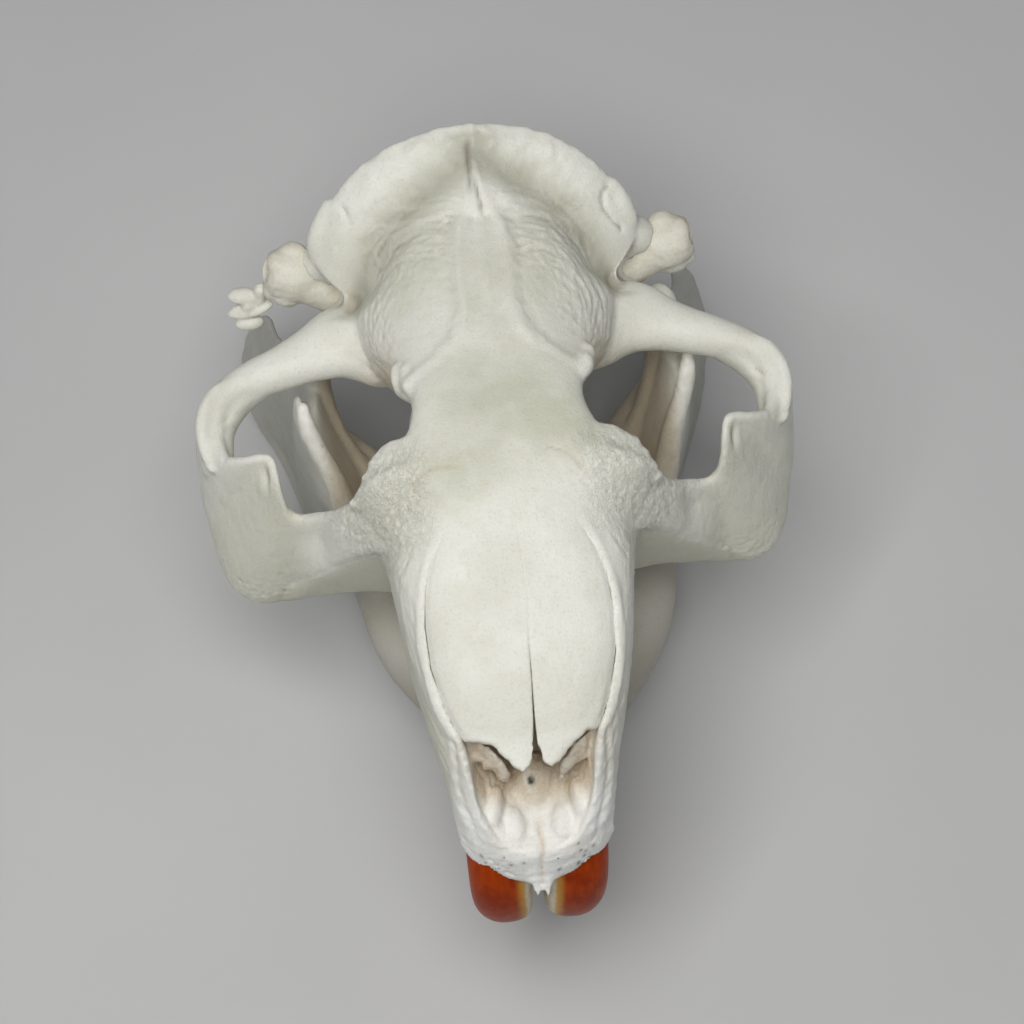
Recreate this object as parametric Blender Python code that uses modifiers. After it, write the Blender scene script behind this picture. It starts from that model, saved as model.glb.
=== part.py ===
"""Skull of a large adult beaver with its lower jaw, life size, resting on the jaw.

Sizes are millimetres and become metres as each mesh is made. Every form is drawn in one
frame: +X is the animal's left, Y runs back from the tips of the nasal bones and Z is the
height above the table. The finished parts are moved back along Y, so that the origin is
under the middle of the model.
"""

import math

import bmesh
import bpy
import numpy as np
from mathutils import Matrix, Vector

MM = 0.001
RING = 28
GAP = 0.3
SPECK = 0.02
SIDES = (("left", 1), ("right", -1))

# Driving dimensions of the skull
FOREHEAD_Z = 90.0
BITE_Z = 40.3
JAW_YAW = 3.1
JAW_PIVOT = (0.9, 77.0)
MIDDLE = (0.0, 50.86)

# Planes that part the skull: for each, how far back it starts, at which height, and its lean
SLOTS = {"snout": (15.62, 32, 0.524), "brow": (83.34, 32, -0.256), "nape": (104.8, 36, -0.12)}
CHEEK_X = 31.0

# How many triangles each cast bone keeps
DETAIL = {"skull": 7000, "mandible": 1800, "ear_bone": 360, "bone_chip": 280, "upper_incisor": 260,
          "lower_incisor": 240, "opening": 300, "ear_canal": 90}


def through(knots, at, firm=True):
    """Values at the places `at` on a smooth curve through knots of (place, value, ...)."""
    knots = np.asarray(knots, float)
    place, value = knots[:, 0], knots[:, 1:]
    step = np.diff(place)[:, None]
    rise = np.diff(value, axis=0) / step
    slope = np.empty_like(value)
    slope[0], slope[-1] = rise[0], rise[-1]
    slope[1:-1] = (rise[:-1] * step[1:] + rise[1:] * step[:-1]) / (step[1:] + step[:-1])
    if firm:
        turning = rise[:-1] * rise[1:] <= 0
        limit = 3 * np.minimum(abs(rise[:-1]), abs(rise[1:]))
        slope[1:-1] = np.where(turning, 0, np.clip(slope[1:-1], -limit, limit))
    at = np.clip(np.asarray(at, float), place[0], place[-1])
    k = np.clip(np.searchsorted(place, at, side="right") - 1, 0, len(place) - 2)
    h = step[k]
    t = ((at - place[k]) / h[:, 0])[:, None]
    a, b = value[k], value[k + 1]
    return (
        a * (1 + 2 * t) * (1 - t) ** 2
        + b * t * t * (3 - 2 * t)
        + h * slope[k] * t * (1 - t) ** 2
        - h * slope[k + 1] * t * t * (1 - t)
    )


def along(rows, spacing):
    """Rows of numbers resampled evenly by the length of their first three, a path."""
    rows = np.asarray(rows, float)
    length = np.r_[0, np.cumsum(np.linalg.norm(np.diff(rows[:, :3], axis=0), axis=1))]
    count = max(4, int(round(length[-1] / spacing)) + 1)
    return through(np.c_[length, rows], np.linspace(0, length[-1], count), firm=False)


def superellipse(power_up, power_down, count=RING):
    """Points of a unit section: cosine-like across and sine-like up."""
    angle = np.linspace(0, 2 * math.pi, count, endpoint=False)
    c, s = np.cos(angle), np.sin(angle)
    power = np.where(s >= 0, power_up, power_down)
    return np.sign(c) * abs(c) ** (2 / power), np.sign(s) * abs(s) ** (2 / power)


def from_bmesh(name, mesh):
    """New object in the scene from an edit mesh, which is freed."""
    data = bpy.data.meshes.new(name)
    mesh.to_mesh(data)
    mesh.free()
    thing = bpy.data.objects.new(name, data)
    bpy.context.scene.collection.objects.link(thing)
    return thing


def skin(name, rings):
    """Closed mesh object over a row of rings, each an array of points."""
    mesh = bmesh.new()
    loops = [[mesh.verts.new(Vector(p) * MM) for p in ring] for ring in rings]
    for one, two in zip(loops, loops[1:]):
        for k in range(len(one)):
            n = (k + 1) % len(one)
            mesh.faces.new((one[k], one[n], two[n], two[k]))
    for loop in (loops[0], loops[-1]):
        middle = mesh.verts.new(sum((v.co for v in loop), Vector()) / len(loop))
        for k in range(len(loop)):
            mesh.faces.new((loop[k], loop[(k + 1) % len(loop)], middle))
    bmesh.ops.recalc_face_normals(mesh, faces=mesh.faces)
    return from_bmesh(name, mesh)


def domed(rings, bulge=0.5):
    """The rings with two smaller ones added beyond each end, so that the ends are round."""
    rings = [np.asarray(r, float) for r in rings]

    def dome(last, before):
        middle = last.mean(0)
        out = middle - before.mean(0)
        size = np.linalg.norm(last - middle, axis=1).min() * 2 * bulge
        out = out / max(np.linalg.norm(out), 1e-6) * size
        return [
            middle + (last - middle) * math.cos(a) + out * math.sin(a)
            for a in (0.6, 1.1, 1.42)
        ]

    return dome(rings[0], rings[1])[::-1] + rings + dome(rings[-1], rings[-2])


def lines_loft(name, start, end, spacing, lines):
    """Loft along Y from named lines, each a list of (y, value)."""
    ys = np.linspace(start, end, max(4, int((end - start) / spacing) + 1))

    def line(key, other=0.0):
        return through(lines[key], ys)[:, 0] if key in lines else np.full(len(ys), other)

    middle, half, level = line("middle"), line("half"), line("level")
    top, bottom = line("top"), line("bottom")
    up, down = line("up", 2.0), line("down", 2.0)
    rings = []
    for k, y in enumerate(ys):
        c, s = superellipse(up[k], down[k])
        height = np.where(s >= 0, top[k] - level[k], level[k] - bottom[k])
        rings.append(np.c_[middle[k] + half[k] * c, np.full(RING, y), level[k] + height * s])
    return skin(name, rings)


def tube(name, rows, spacing=1.5, power=2.0, side=(0, 0, 1), bulge=0.5):
    """Tapered limb through rows of (x, y, z, half size across, half size along side)."""
    rows = along(rows, spacing)
    path = rows[:, :3]
    ahead = np.gradient(path, axis=0)
    ahead /= np.linalg.norm(ahead, axis=1)[:, None]
    across = np.cross(ahead, np.asarray(side, float))
    across /= np.linalg.norm(across, axis=1)[:, None]
    up = np.cross(across, ahead)
    c, s = superellipse(power, power)
    rings = [
        p + row[3] * np.outer(c, a) + row[4] * np.outer(s, u)
        for p, row, a, u in zip(path, rows, across, up)
    ]
    return skin(name, domed(rings, bulge))


def ribbon(name, rows, spacing=1.5, bulge=0.35):
    """Plate through rows of (edge a, edge b, thickness at a, thickness at b)."""
    rows = along([(*a, *b, ta, tb) for a, b, ta, tb in rows], spacing)
    edge_a, edge_b = rows[:, :3], rows[:, 3:6]
    middle = (edge_a + edge_b) / 2
    ahead = np.gradient(middle, axis=0)
    across = (edge_b - edge_a) / 2
    normal = np.cross(ahead, across)
    normal /= np.linalg.norm(normal, axis=1)[:, None]
    c, s = superellipse(3.0, 3.0)
    rings = []
    for k in range(len(rows)):
        share = (1 + c) / 2
        half_thick = (rows[k, 6] * (1 - share) + rows[k, 7] * share) / 2
        rings.append(middle[k] + np.outer(c, across[k]) + np.outer(s * half_thick, normal[k]))
    return skin(name, domed(rings, bulge))


def ball(name, centre, halves, tilt=(0, 0, 0)):
    """Ellipsoid with three half sizes, turned by tilt in degrees."""
    turn = Matrix.Identity(4)
    for angle, axis in zip(tilt, "XYZ"):
        turn = Matrix.Rotation(math.radians(angle), 4, axis) @ turn
    scale = Matrix.Diagonal((*[h * MM for h in halves], 1))
    place = Matrix.Translation(Vector(centre) * MM) @ turn @ scale
    mesh = bmesh.new()
    bmesh.ops.create_uvsphere(mesh, u_segments=28, v_segments=16, radius=1, matrix=place)
    return from_bmesh(name, mesh)


def other_side(thing):
    """Copy of a form on the animal's other side."""
    data = thing.data.copy()
    data.transform(Matrix.Scale(-1, 4, (1, 0, 0)))
    data.flip_normals()
    twin = bpy.data.objects.new(thing.name + "_other", data)
    bpy.context.scene.collection.objects.link(twin)
    return twin


def both(*things):
    """The forms and their twins on the other side."""
    return [x for t in things for x in (t, other_side(t))]


# The long box of the skull from the snout to the back of the head, as lines along Y
SKULL_LINES = {
    "half": [(-11.5, 5.6), (-9, 10.0), (-6.3, 12.2), (-2, 13.6), (3.3, 14.5), (8, 15.5), (14, 17.0),
             (20.5, 18.4), (28.5, 19.6), (35, 20.4), (41, 21.6), (46, 24.4), (49.5, 24.8), (53.5, 18.9),
             (58.4, 15.8), (64, 14.5), (68, 15.4), (72, 17.4), (76, 19.6), (82, 22.2), (89, 24.0),
             (96, 25.4), (102, 26.0), (107, 24.0), (111.5, 17.0)],
    "top": [(-11.5, 60.0), (-9.4, 65.5), (-5, 71.3), (0, 76.0), (6, 80.3), (12, 82.8), (25, 85.9),
            (36, 87.8), (46, 89.4), (56, FOREHEAD_Z), (66, 89.2), (76, 88.0), (90, 86.6), (100, 84.4),
            (107, 81.0), (111.5, 74.0)],
    "level": [(-11.5, 56.0), (0, 63.0), (12, 68.0), (30, 72.0), (42, 79.0), (50, 84.0), (58, 85.0),
              (66, 83.0), (72, 76.0), (80, 70.0), (95, 66.0), (111.5, 63.0)],
    "bottom": [(-11.5, 53.4), (-4, 52.0), (6, 52.0), (20, 52.0), (34, 49.4), (46, 48.0), (60, 50.0),
               (72, 53.0), (82, 53.0), (95, 50.0), (105, 49.0), (111.5, 52.0)],
    "up": [(-11.5, 2.2), (-4, 2.6), (6, 3.6), (20, 4.2), (36, 4.2), (46, 3.6), (56, 3.6), (66, 3.2),
           (74, 2.4), (90, 2.1), (111.5, 2.2)],
    "down": [(-11.5, 2.4), (0, 2.2), (14, 1.8), (32, 1.7), (46, 1.35), (58, 1.15), (66, 1.2),
             (76, 1.7), (88, 2.2), (111.5, 2.2)],
}

# The block of the upper jaw that holds the cheek teeth
PALATE_LINES = {
    "half": [(34, 7.0), (40, 13.0), (46, 15.5), (58, 17.5), (70, 19.5), (77, 18.5), (82, 14.0)],
    "level": [(34, 52.0), (82, 52.0)],
    "top": [(34, 60.0), (58, 66.0), (82, 62.0)],
    "bottom": [(34, 48.0), (42, 45.2), (60, 45.0), (78, 45.5), (82, 48.0)],
    "up": [(34, 2.2), (82, 2.2)],
    "down": [(34, 2.6), (44, 4.5), (76, 4.5), (82, 2.6)],
}


def upper_jaw_forms():
    """Palate, tooth sockets and the plates behind the palate."""
    hooks = both(
        ribbon("pterygoid", [
            ((5.0, 74, 56), (6.4, 74, 46), 4.0, 3.0),
            ((5.6, 82, 56), (7.4, 82, 43.5), 3.4, 2.4),
            ((6.4, 86.5, 54), (8.2, 87, 43), 3.2, 2.2),
        ]),
    )
    return [lines_loft("palate", 34, 82, 2, PALATE_LINES), *hooks]


def tooth_row(name, front, back, first_z, crown_z, widths):
    """Four cheek teeth standing in a row that spreads towards the back."""
    teeth = []
    (x0, y0), (x1, y1) = front, back
    run = math.hypot(x1 - x0, y1 - y0)
    total = sum(w for w, _ in widths)
    place = 0.0
    for k, (length, breadth) in enumerate(widths):
        share = (place + length / 2) / total
        place += length
        x, y = x0 + (x1 - x0) * share, y0 + (y1 - y0) * share
        half = length * run / total / 2 - 0.05
        low, high = sorted((first_z, crown_z))
        teeth.append(tube(f"{name}_{k}", [
            (x, y, z, half, breadth / 2) for z in (low, (low + high) / 2, high)
        ], spacing=3, power=3.4, side=(1, 0, 0), bulge=0.02))
    return teeth


UPPER_TEETH = [(8.8, 8.4), (7.6, 8.0), (7.2, 7.6), (6.8, 6.8)]
LOWER_TEETH = [(9.6, 7.2), (8.2, 7.6), (7.6, 7.4), (6.6, 6.6)]


def arch_forms():
    """Cheek arch of the left side: jaw root, deep cheek bone and the bar from the ear region."""
    return [
        ribbon("arch_root", [
            ((16, 49, 84), (15, 41, 60), 8.0, 8.0),
            ((22, 49.6, 79), (20, 43.0, 55), 6.5, 7.0),
            ((27, 51.0, 73.5), (26, 44.6, 51.0), 5.0, 5.6),
            ((32, 52.0, 69.5), (32, 45.4, 48.0), 4.0, 4.6),
            ((36, 52.6, 69.0), (38.5, 45.2, 46.0), 3.4, 4.0),
            ((37.6, 55.0, 73.0), (45.0, 46.2, 46.2), 3.0, 3.8),
            ((38.2, 58.0, 75.5), (49.6, 49.6, 47.4), 2.8, 3.8),
            ((38.8, 60.6, 76.2), (51.2, 56.0, 50.4), 2.8, 3.8),
            ((43.5, 61.8, 74.0), (51.8, 59.0, 51.8), 3.0, 3.8),
            ((47.0, 63.6, 71.0), (52.0, 62.5, 53.4), 3.4, 3.8),
            ((48.2, 67.0, 69.5), (52.0, 67.5, 55.8), 3.8, 4.0),
            ((48.0, 72.0, 69.5), (51.4, 72.5, 58.6), 4.0, 4.2),
            ((46.0, 76.5, 69.0), (49.6, 77.5, 61.0), 4.0, 4.0),
        ], spacing=1.2),
        tube("arch_bar", [
            (18, 86.0, 66.0, 9.5, 8.0),
            (23, 86.0, 66.0, 8.6, 6.0),
            (27, 85.2, 66.0, 6.8, 4.6),
            (31, 83.6, 66.2, 5.2, 3.8),
            (36, 81.6, 66.4, 4.2, 3.4),
            (41, 79.8, 66.2, 3.6, 3.5),
            (45.5, 77.6, 66.0, 3.2, 3.9),
            (48.8, 74.0, 65.6, 2.8, 4.3),
            (50.2, 69.0, 65.0, 2.4, 4.4),
            (50.0, 64.5, 64.6, 2.0, 4.0),
        ], spacing=1.2),
    ]


def crest_forms():
    """Flange round the back of the head, narrower on the left, and the lump at each end of it."""
    rim = [(0, 116.0, 86.4), (8, 115.3, 85.8), (15.6, 113.3, 84.2), (22.4, 109.6, 81.0),
           (27.6, 105.2, 76.8), (30.2, 101.8, 72.4)]
    base = [(0, 98.0, 82.0), (5.5, 97.5, 81.0), (11, 96.0, 79.0), (16, 94.0, 75.5),
            (19.5, 92.0, 71.0), (21.5, 91.0, 67.0)]
    sides = [
        [((sign * wide * a[0], *a[1:]), (sign * b[0], *b[1:]), 2.6, 9.0) for a, b in zip(rim, base)]
        for sign, wide in ((-1, 1.0), (1, 0.94))
    ]
    return [
        ribbon("crest", sides[0][:0:-1] + sides[1], spacing=1.5, bulge=0.2),
        ball("mastoid_lump_left", (24.6, 103.0, 74.0), (3.4, 3.4, 5.0), (0, 20, 0)),
        ball("mastoid_lump_right", (-27.2, 102.8, 73.5), (3.5, 3.6, 5.0), (0, -20, 0)),
        *both(tube("mastoid_root", [
            (20, 100, 66, 6, 9), (25, 101, 66, 4.5, 7.5), (28.5, 100.5, 68, 3.4, 5.5),
        ])),
    ]


def occiput_forms():
    """Knuckles of the neck joint and the two spurs beside them."""
    return both(
        ball("neck_knuckle", (7.8, 112.0, 53.0), (4.6, 4.8, 6.4), (20, 0, 15)),
        tube("neck_spur", [
            (17.5, 107, 60, 5.5, 5.5), (18.5, 107.5, 52, 3.8, 4.4), (18.5, 107, 45, 2.4, 3.0),
            (18.0, 106.5, 41.5, 1.6, 2.0),
        ], side=(0, 1, 0)),
    )


def brow_forms():
    """Lumps where the ridges of the temple begin, and the ridges themselves."""
    return both(
        ball("brow_knob", (14.6, 67.2, 84.6), (3.0, 2.6, 3.4), (0, 25, 0)),
        ball("tear_lump", (24.4, 50.0, 82.4), (2.8, 2.6, 3.2)),
        tube("temple_ridge", [
            (14.4, 67.6, 86.2, 1.6, 1.4), (9.5, 69.6, 88.0, 1.5, 1.2), (5.4, 74.0, 88.2, 1.4, 1.1),
            (3.4, 82.0, 87.6, 1.3, 1.0), (2.0, 93.0, 86.6, 1.2, 1.0), (0.9, 103.0, 85.6, 1.2, 1.4),
            (0.2, 111.0, 85.6, 1.3, 1.6),
        ]),
    )


# Underside of the nasal bones, a plane that rises towards the back
NASAL_FLOOR_Z = 74.9
NASAL_FLOOR_RISE = 0.24
# Half of the outline of the nasal bones, as (y, half width)
NASAL_EDGE = [(46.0, 0.5), (45.0, 6.5), (43.2, 9.9), (39.5, 12.2), (35.5, 13.8), (30.8, 15.2),
              (25.0, 15.8), (18.4, 15.4), (12.0, 13.8), (8.5, 12.4), (6.3, 10.8)]
# Front edge of the left nasal bone, as (half width, y), from its outer corner to the notch
NASAL_FRONT = [(8.6, 5.6), (6.0, 4.4), (4.4, 1.8), (3.0, 0.4), (1.6, 1.0), (0.9, 3.4)]


def nasal_forms():
    """Roof of the nose, which runs out over the nasal opening."""
    roof = [(6, 80.3), (25, 85.9), (46, 89.4)]
    rows = []
    for y, half in [(-1.0, 3.2), (3.4, 5.8), (6.4, 10.4), (10, 12.4), (16, 13.6)]:
        z = through(roof, [max(y, 6)])[0, 0] - 1.2 - max(0, 6 - y) * 0.32
        rows.append(((-half, y, z), (half, y, z), 2.4, 2.4))
    return [ribbon("nose_roof", rows, bulge=0.1)]


def prism(name, outline, low, high):
    """Upright solid over an outline of (x, y) points, between two heights."""
    return skin(name, [[(x, y, z) for x, y in outline] for z in (low, high)])


def nasal_region(name, plan, grow=0.0):
    """Space over a plan outline that the nasal bones take out of the roof of the snout."""
    low = [(x, y, NASAL_FLOOR_Z + NASAL_FLOOR_RISE * y - grow) for x, y in plan]
    return skin(name, [low, [(x, y, 100) for x, y in plan]])


def nasal_half(grow=0.0):
    """Plan outline of the left nasal bone away from the midline, grown outwards by a gap."""
    edge = [(half + grow, y) for y, half in NASAL_EDGE]
    edge[0] = (edge[0][0], edge[0][1] + grow)
    return edge + [(half, y - grow) for half, y in NASAL_FRONT]


def nasal_pieces(skull):
    """The two nasal bones, as the skull's own roof fills them, and the pocket round both."""
    pieces = {}
    half = nasal_half()
    for side, sign in SIDES:
        plan = [(GAP / 2, half[0][1])] + half + [(GAP / 2, half[-1][1])]
        region = nasal_region("nasal_region", [(sign * x, y) for x, y in plan])
        pieces[f"nasal_{side}"] = largest(shaped(twin(skull), region, "INTERSECT"))[0]
        bpy.data.objects.remove(region)
    half = nasal_half(GAP)
    pocket = nasal_region("nasal_pocket", half + [(-x, y) for x, y in half[::-1]], GAP)
    return pieces, pocket


def incisor(name, lower=False):
    """Left curved gnawing tooth, a bent tube whose tip is worn to a chisel on its inner side."""
    if lower:
        centre, reach, thick = (28.8, 46.0), 33.0, 7.6
        angles, across = (-80, -9), [(0, 6.0, 4.0), (0.3, 5.4, 4.1), (1, 4.7, 4.1)]
        edge, wear = -12, 35
    else:
        centre, reach, thick = (12.4, 43.5), 27.6, 8.6
        angles, across = (42, -40), [(0, 6.8, 5.3), (0.3, 6.6, 5.3), (1, 5.7, 4.6)]
        edge, wear = -34, -145
    middle = reach - thick / 2
    rows = []
    for share in np.linspace(0, 1, 14):
        a = math.radians(angles[0] + (angles[1] - angles[0]) * share)
        x, half = through(across, [share])[0]
        rows.append((x, centre[0] - middle * math.cos(a), centre[1] + middle * math.sin(a),
                     half, thick / 2))
    tooth = tube(name, rows, power=2.9, side=(0, 1, 0), bulge=0.05)
    a, w = math.radians(edge), math.radians(wear)
    tip = (0, centre[0] - reach * math.cos(a), centre[1] + reach * math.sin(a))
    return sliced(tooth, tip, (0, math.sin(w), math.cos(w)))


def sliced(thing, point, normal):
    """The form without what lies beyond a plane, closed again on the plane."""
    mesh = bmesh.new()
    mesh.from_mesh(thing.data)
    everything = mesh.verts[:] + mesh.edges[:] + mesh.faces[:]
    cut = bmesh.ops.bisect_plane(mesh, geom=everything, plane_co=Vector(point) * MM,
                                 plane_no=normal, clear_outer=True)
    rim = [e for e in cut["geom_cut"] if isinstance(e, bmesh.types.BMEdge)]
    bmesh.ops.holes_fill(mesh, edges=rim)
    bmesh.ops.recalc_face_normals(mesh, faces=mesh.faces)
    mesh.to_mesh(thing.data)
    mesh.free()
    return thing


def ear_forms():
    """Hollow ear bulb under the skull and the knobby tube that leads out of it."""
    return [
        ball("ear_bulb", (14.5, 92.5, 49.5), (8.3, 10.8, 8.3), (0, 0, -18)),
        tube("ear_tube", [
            (18, 94.0, 53.0, 6.0, 6.0), (22, 95.8, 57.0, 4.8, 4.8), (26, 98.0, 60.4, 4.2, 4.2),
            (30.5, 99.4, 63.2, 4.3, 4.3), (34, 100.2, 65.2, 5.0, 5.0), (36.6, 100.2, 66.0, 4.2, 4.4),
        ], bulge=0.25),
        ball("ear_rim_top", (33.2, 102.4, 67.8), (2.6, 2.4, 2.4)),
        ball("ear_rim_front", (34.8, 97.4, 62.8), (2.6, 2.4, 2.6)),
    ]


def chip_forms():
    """Small lobed piece of bone that clings to the rim of the right ear tube."""
    return [
        ball("chip_cap", (-43.2, 99.9, 60.4), (3.0, 2.1, 1.7), (15, 8, -6)),
        ball("chip_lip", (-42.4, 97.9, 58.0), (4.1, 2.3, 1.5), (10, -12, 8)),
        ball("chip_foot", (-42.6, 96.1, 55.6), (2.7, 1.9, 1.6), (0, 10, 10)),
        tube("chip_stalk", [(-41.6, 98.4, 59.6, 1.6, 1.6), (-40.0, 99.6, 62.2, 1.4, 1.4)],
             spacing=1),
    ]


# The body of the left half of the lower jaw, as lines along Y
JAW_LINES = {
    "middle": [(9, 5.0), (16, 5.7), (24, 6.9), (32, 8.9), (38, 11.2), (46, 13.8), (56, 16.4),
               (66, 19.4), (76, 23.4), (85, 29.0), (92, 34.0)],
    "half": [(9, 3.8), (16, 5.0), (24, 6.3), (32, 7.8), (38, 8.8), (46, 8.8), (56, 8.2),
             (66, 7.4), (76, 5.8), (85, 3.2), (92, 1.6)],
    "level": [(9, 20.0), (16, 18.5), (24, 17.0), (38, 18.0), (56, 21.0), (76, 22.0), (92, 24.0)],
    "top": [(9, 27.0), (16, 28.0), (24, 28.6), (32, 30.5), (38, 32.8), (46, 34.8), (66, 35.6),
            (76, 35.2), (85, 32.0), (92, 29.0)],
    "bottom": [(9, 14.5), (16, 10.5), (24, 6.6), (32, 3.2), (38, 1.8), (46, 3.6), (56, 5.4),
               (66, 6.4), (76, 8.4), (85, 12.0), (92, 18.0)],
    "up": [(9, 2.2), (38, 2.6), (92, 2.4)],
    "down": [(9, 2.2), (38, 2.2), (92, 2.0)],
}


def jaw_forms():
    """Left half of the lower jaw: body, chewing-muscle ridge, plates, knuckle and teeth."""
    return [
        lines_loft("jaw_body", 9, 92, 2, JAW_LINES),
        ball("chin", (8.2, 35.0, 2.6), (5.2, 6.4, 3.6)),
        tube("muscle_ridge", [
            (13.4, 27.0, 22.4, 3.6, 4.2), (15.4, 31.0, 25.4, 5.2, 4.6), (18.2, 35.4, 27.6, 6.0, 4.2),
            (20.6, 40.5, 29.0, 6.6, 3.8), (22.4, 46.5, 29.4, 6.6, 3.6), (25.0, 54.0, 27.0, 5.2, 4.0),
            (27.4, 64.0, 21.0, 3.8, 4.4), (33.4, 76.0, 13.6, 2.4, 4.0), (39.2, 88.0, 8.0, 1.6, 3.4),
        ]),
        ribbon("ramus", [
            ((25.5, 52, 33), (24.5, 52, 16), 5.0, 4.6),
            ((29.0, 58, 38), (26.0, 58, 13), 4.0, 3.8),
            ((31.4, 63, 43), (27.6, 62, 11), 3.6, 3.4),
            ((33.0, 69, 51), (30.0, 68, 7.5), 3.6, 3.0),
            ((34.4, 74, 58), (33.2, 73, 5), 3.4, 2.8),
            ((35.2, 77.4, 61.6), (35.6, 77.5, 3.4), 3.0, 2.6),
            ((35.2, 80.4, 59.5), (37.2, 81, 2.6), 2.8, 2.6),
            ((33.6, 84.0, 50.5), (38.8, 85, 2.4), 2.8, 2.6),
            ((32.4, 88.0, 50.0), (40.6, 89, 2.4), 2.8, 2.4),
            ((32.2, 92.0, 53.5), (42.4, 93, 3.0), 2.6, 2.4),
            ((34.0, 95.6, 48.0), (43.6, 97, 3.8), 2.4, 2.3),
            ((36.6, 100.0, 41.0), (45.0, 101.5, 5.2), 2.2, 2.2),
            ((38.6, 105.0, 36.0), (45.6, 106.5, 8.0), 2.1, 2.1),
            ((40.2, 110.0, 31.0), (45.0, 110.6, 12.5), 2.0, 2.0),
            ((41.0, 112.8, 26.5), (43.4, 113.0, 18.5), 1.9, 1.9),
        ], spacing=1.2),
        tube("jaw_angle_rim", [
            (21.5, 53, 8.6, 2.6, 3.0), (25.6, 61, 7.4, 3.0, 3.4), (29.6, 70, 4.4, 2.8, 3.2),
            (33.8, 78, 2.0, 3.0, 2.8), (37.4, 86, 1.5, 3.0, 2.4), (40.8, 93, 1.7, 2.8, 2.2),
            (44.0, 101, 4.6, 1.7, 2.0), (45.4, 107, 8.8, 1.3, 1.6), (44.6, 111.4, 14.0, 1.2, 1.3),
        ], spacing=2),
        ball("jaw_knuckle", (31.8, 90.6, 55.8), (3.5, 4.0, 3.1), (12, 0, 0)),
        tube("knuckle_ridge", [
            (31.6, 90.6, 53.0, 2.6, 2.6), (29.6, 84.0, 44.0, 2.4, 2.4), (25.4, 76.0, 34.0, 3.0, 3.0),
            (21.0, 70.0, 30.0, 4.0, 4.0),
        ]),
        tube("coronoid_edge", [
            (28.4, 58.5, 36.0, 2.6, 3.4), (31.4, 64.0, 43.0, 2.2, 3.0), (33.8, 71.0, 53.0, 2.0, 2.6),
            (35.2, 77.0, 60.6, 1.8, 2.0),
        ]),
        ball("root_capsule", (29.6, 80.0, 26.0), (4.4, 8.0, 5.4), (-28, 0, -18)),
        *tooth_row("lower_molar", (10.6, 44), (15.2, 76), 28, BITE_Z - GAP, LOWER_TEETH),
    ]


def turned_jaw(thing):
    """Move a form from the jaw's own frame to where the jaw lies, askew under the skull."""
    pivot = Vector((*JAW_PIVOT, 0)) * MM
    turn = Matrix.Rotation(math.radians(JAW_YAW), 4, "Z")
    back = Matrix.Translation((0, -JAW_PIVOT[1] * MM, 0))
    thing.data.transform(Matrix.Translation(pivot) @ turn @ back)
    return thing


# The nasal opening, cut from the front, as lines along Y
NOSTRIL_LINES = {
    "half": [(-20, 6.4), (-9.4, 6.4), (-5.5, 8.0), (-1, 9.6), (6, 10.2), (14, 10.4), (18, 8.0)],
    "level": [(-20, 68.0), (18, 68.0)],
    "top": [(-20, 96.0), (-3.0, 96.0), (-2.0, 75.0), (6, 76.9), (12, 78.3), (18, 79.7)],
    "bottom": [(-20, 66.4), (-9.4, 66.0), (-6, 64.6), (0, 62.8), (6, 60.0), (12, 58.0), (18, 60.0)],
    "up": [(-20, 3.0), (18, 3.0)],
    "down": [(-20, 2.2), (18, 2.6)],
}


# Half of the rim of the nasal opening in plan, as (half width, y)
NOSTRIL_RIM = [(9.9, 9.5), (10.2, 6.4), (9.8, -1.0), (8.2, -5.5), (6.4, -9.4), (6.4, -20.0)]


def skull_openings():
    """Cutters for the nasal cavity and the hole of the spinal cord."""
    return [
        lines_loft("nasal_cavity", -20, 18, 1.5, NOSTRIL_LINES),
        tube("cord_hole", [(0, 125, 55.5, 7.6, 6.2), (0, 108, 56.5, 7.6, 6.2), (0, 94, 58, 7.0, 5.6)],
             bulge=0.4),
    ]


def thinned(thing, triangles):
    """The object with about so many triangles, still closed."""
    count = sum(len(face.vertices) - 2 for face in thing.data.polygons)
    step = thing.modifiers.new("thin_out", "DECIMATE")
    step.ratio = min(1, triangles / count)
    return applied(thing)


def applied(thing):
    """Make what the modifiers show the object's own mesh."""
    graph = bpy.context.evaluated_depsgraph_get()
    data = bpy.data.meshes.new_from_object(thing.evaluated_get(graph))
    thing.modifiers.clear()
    thing.data = data
    return thing


def largest(thing, count=1):
    """The object's separate closed surfaces by volume, largest first, each a new object."""
    mesh = bmesh.new()
    mesh.from_mesh(thing.data)
    left, groups = set(mesh.verts), []
    while left:
        group, edge = set(), [left.pop()]
        while edge:
            vert = edge.pop()
            group.add(vert)
            near = {e.other_vert(vert) for e in vert.link_edges} & left
            left -= near
            edge += near
        groups.append({v.index for v in group})
    mesh.free()
    found = []
    for group in groups:
        piece = bmesh.new()
        piece.from_mesh(thing.data)
        bmesh.ops.delete(piece, geom=[v for v in piece.verts if v.index not in group], context="VERTS")
        found.append((piece.calc_volume(), piece))
    found.sort(key=lambda pair: -pair[0])
    things = [from_bmesh(thing.name, piece) for _, piece in found[:count]]
    for _, piece in found[count:]:
        piece.free()
    bpy.data.objects.remove(thing)
    return things


def cleaned(thing):
    """The object in triangles, without the specks of edge that cutting leaves."""
    mesh = bmesh.new()
    mesh.from_mesh(thing.data)
    bmesh.ops.triangulate(mesh, faces=mesh.faces[:])
    bmesh.ops.dissolve_degenerate(mesh, dist=SPECK * MM, edges=mesh.edges[:])
    bmesh.ops.triangulate(mesh, faces=mesh.faces[:])
    mesh.to_mesh(thing.data)
    mesh.free()
    return thing


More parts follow.
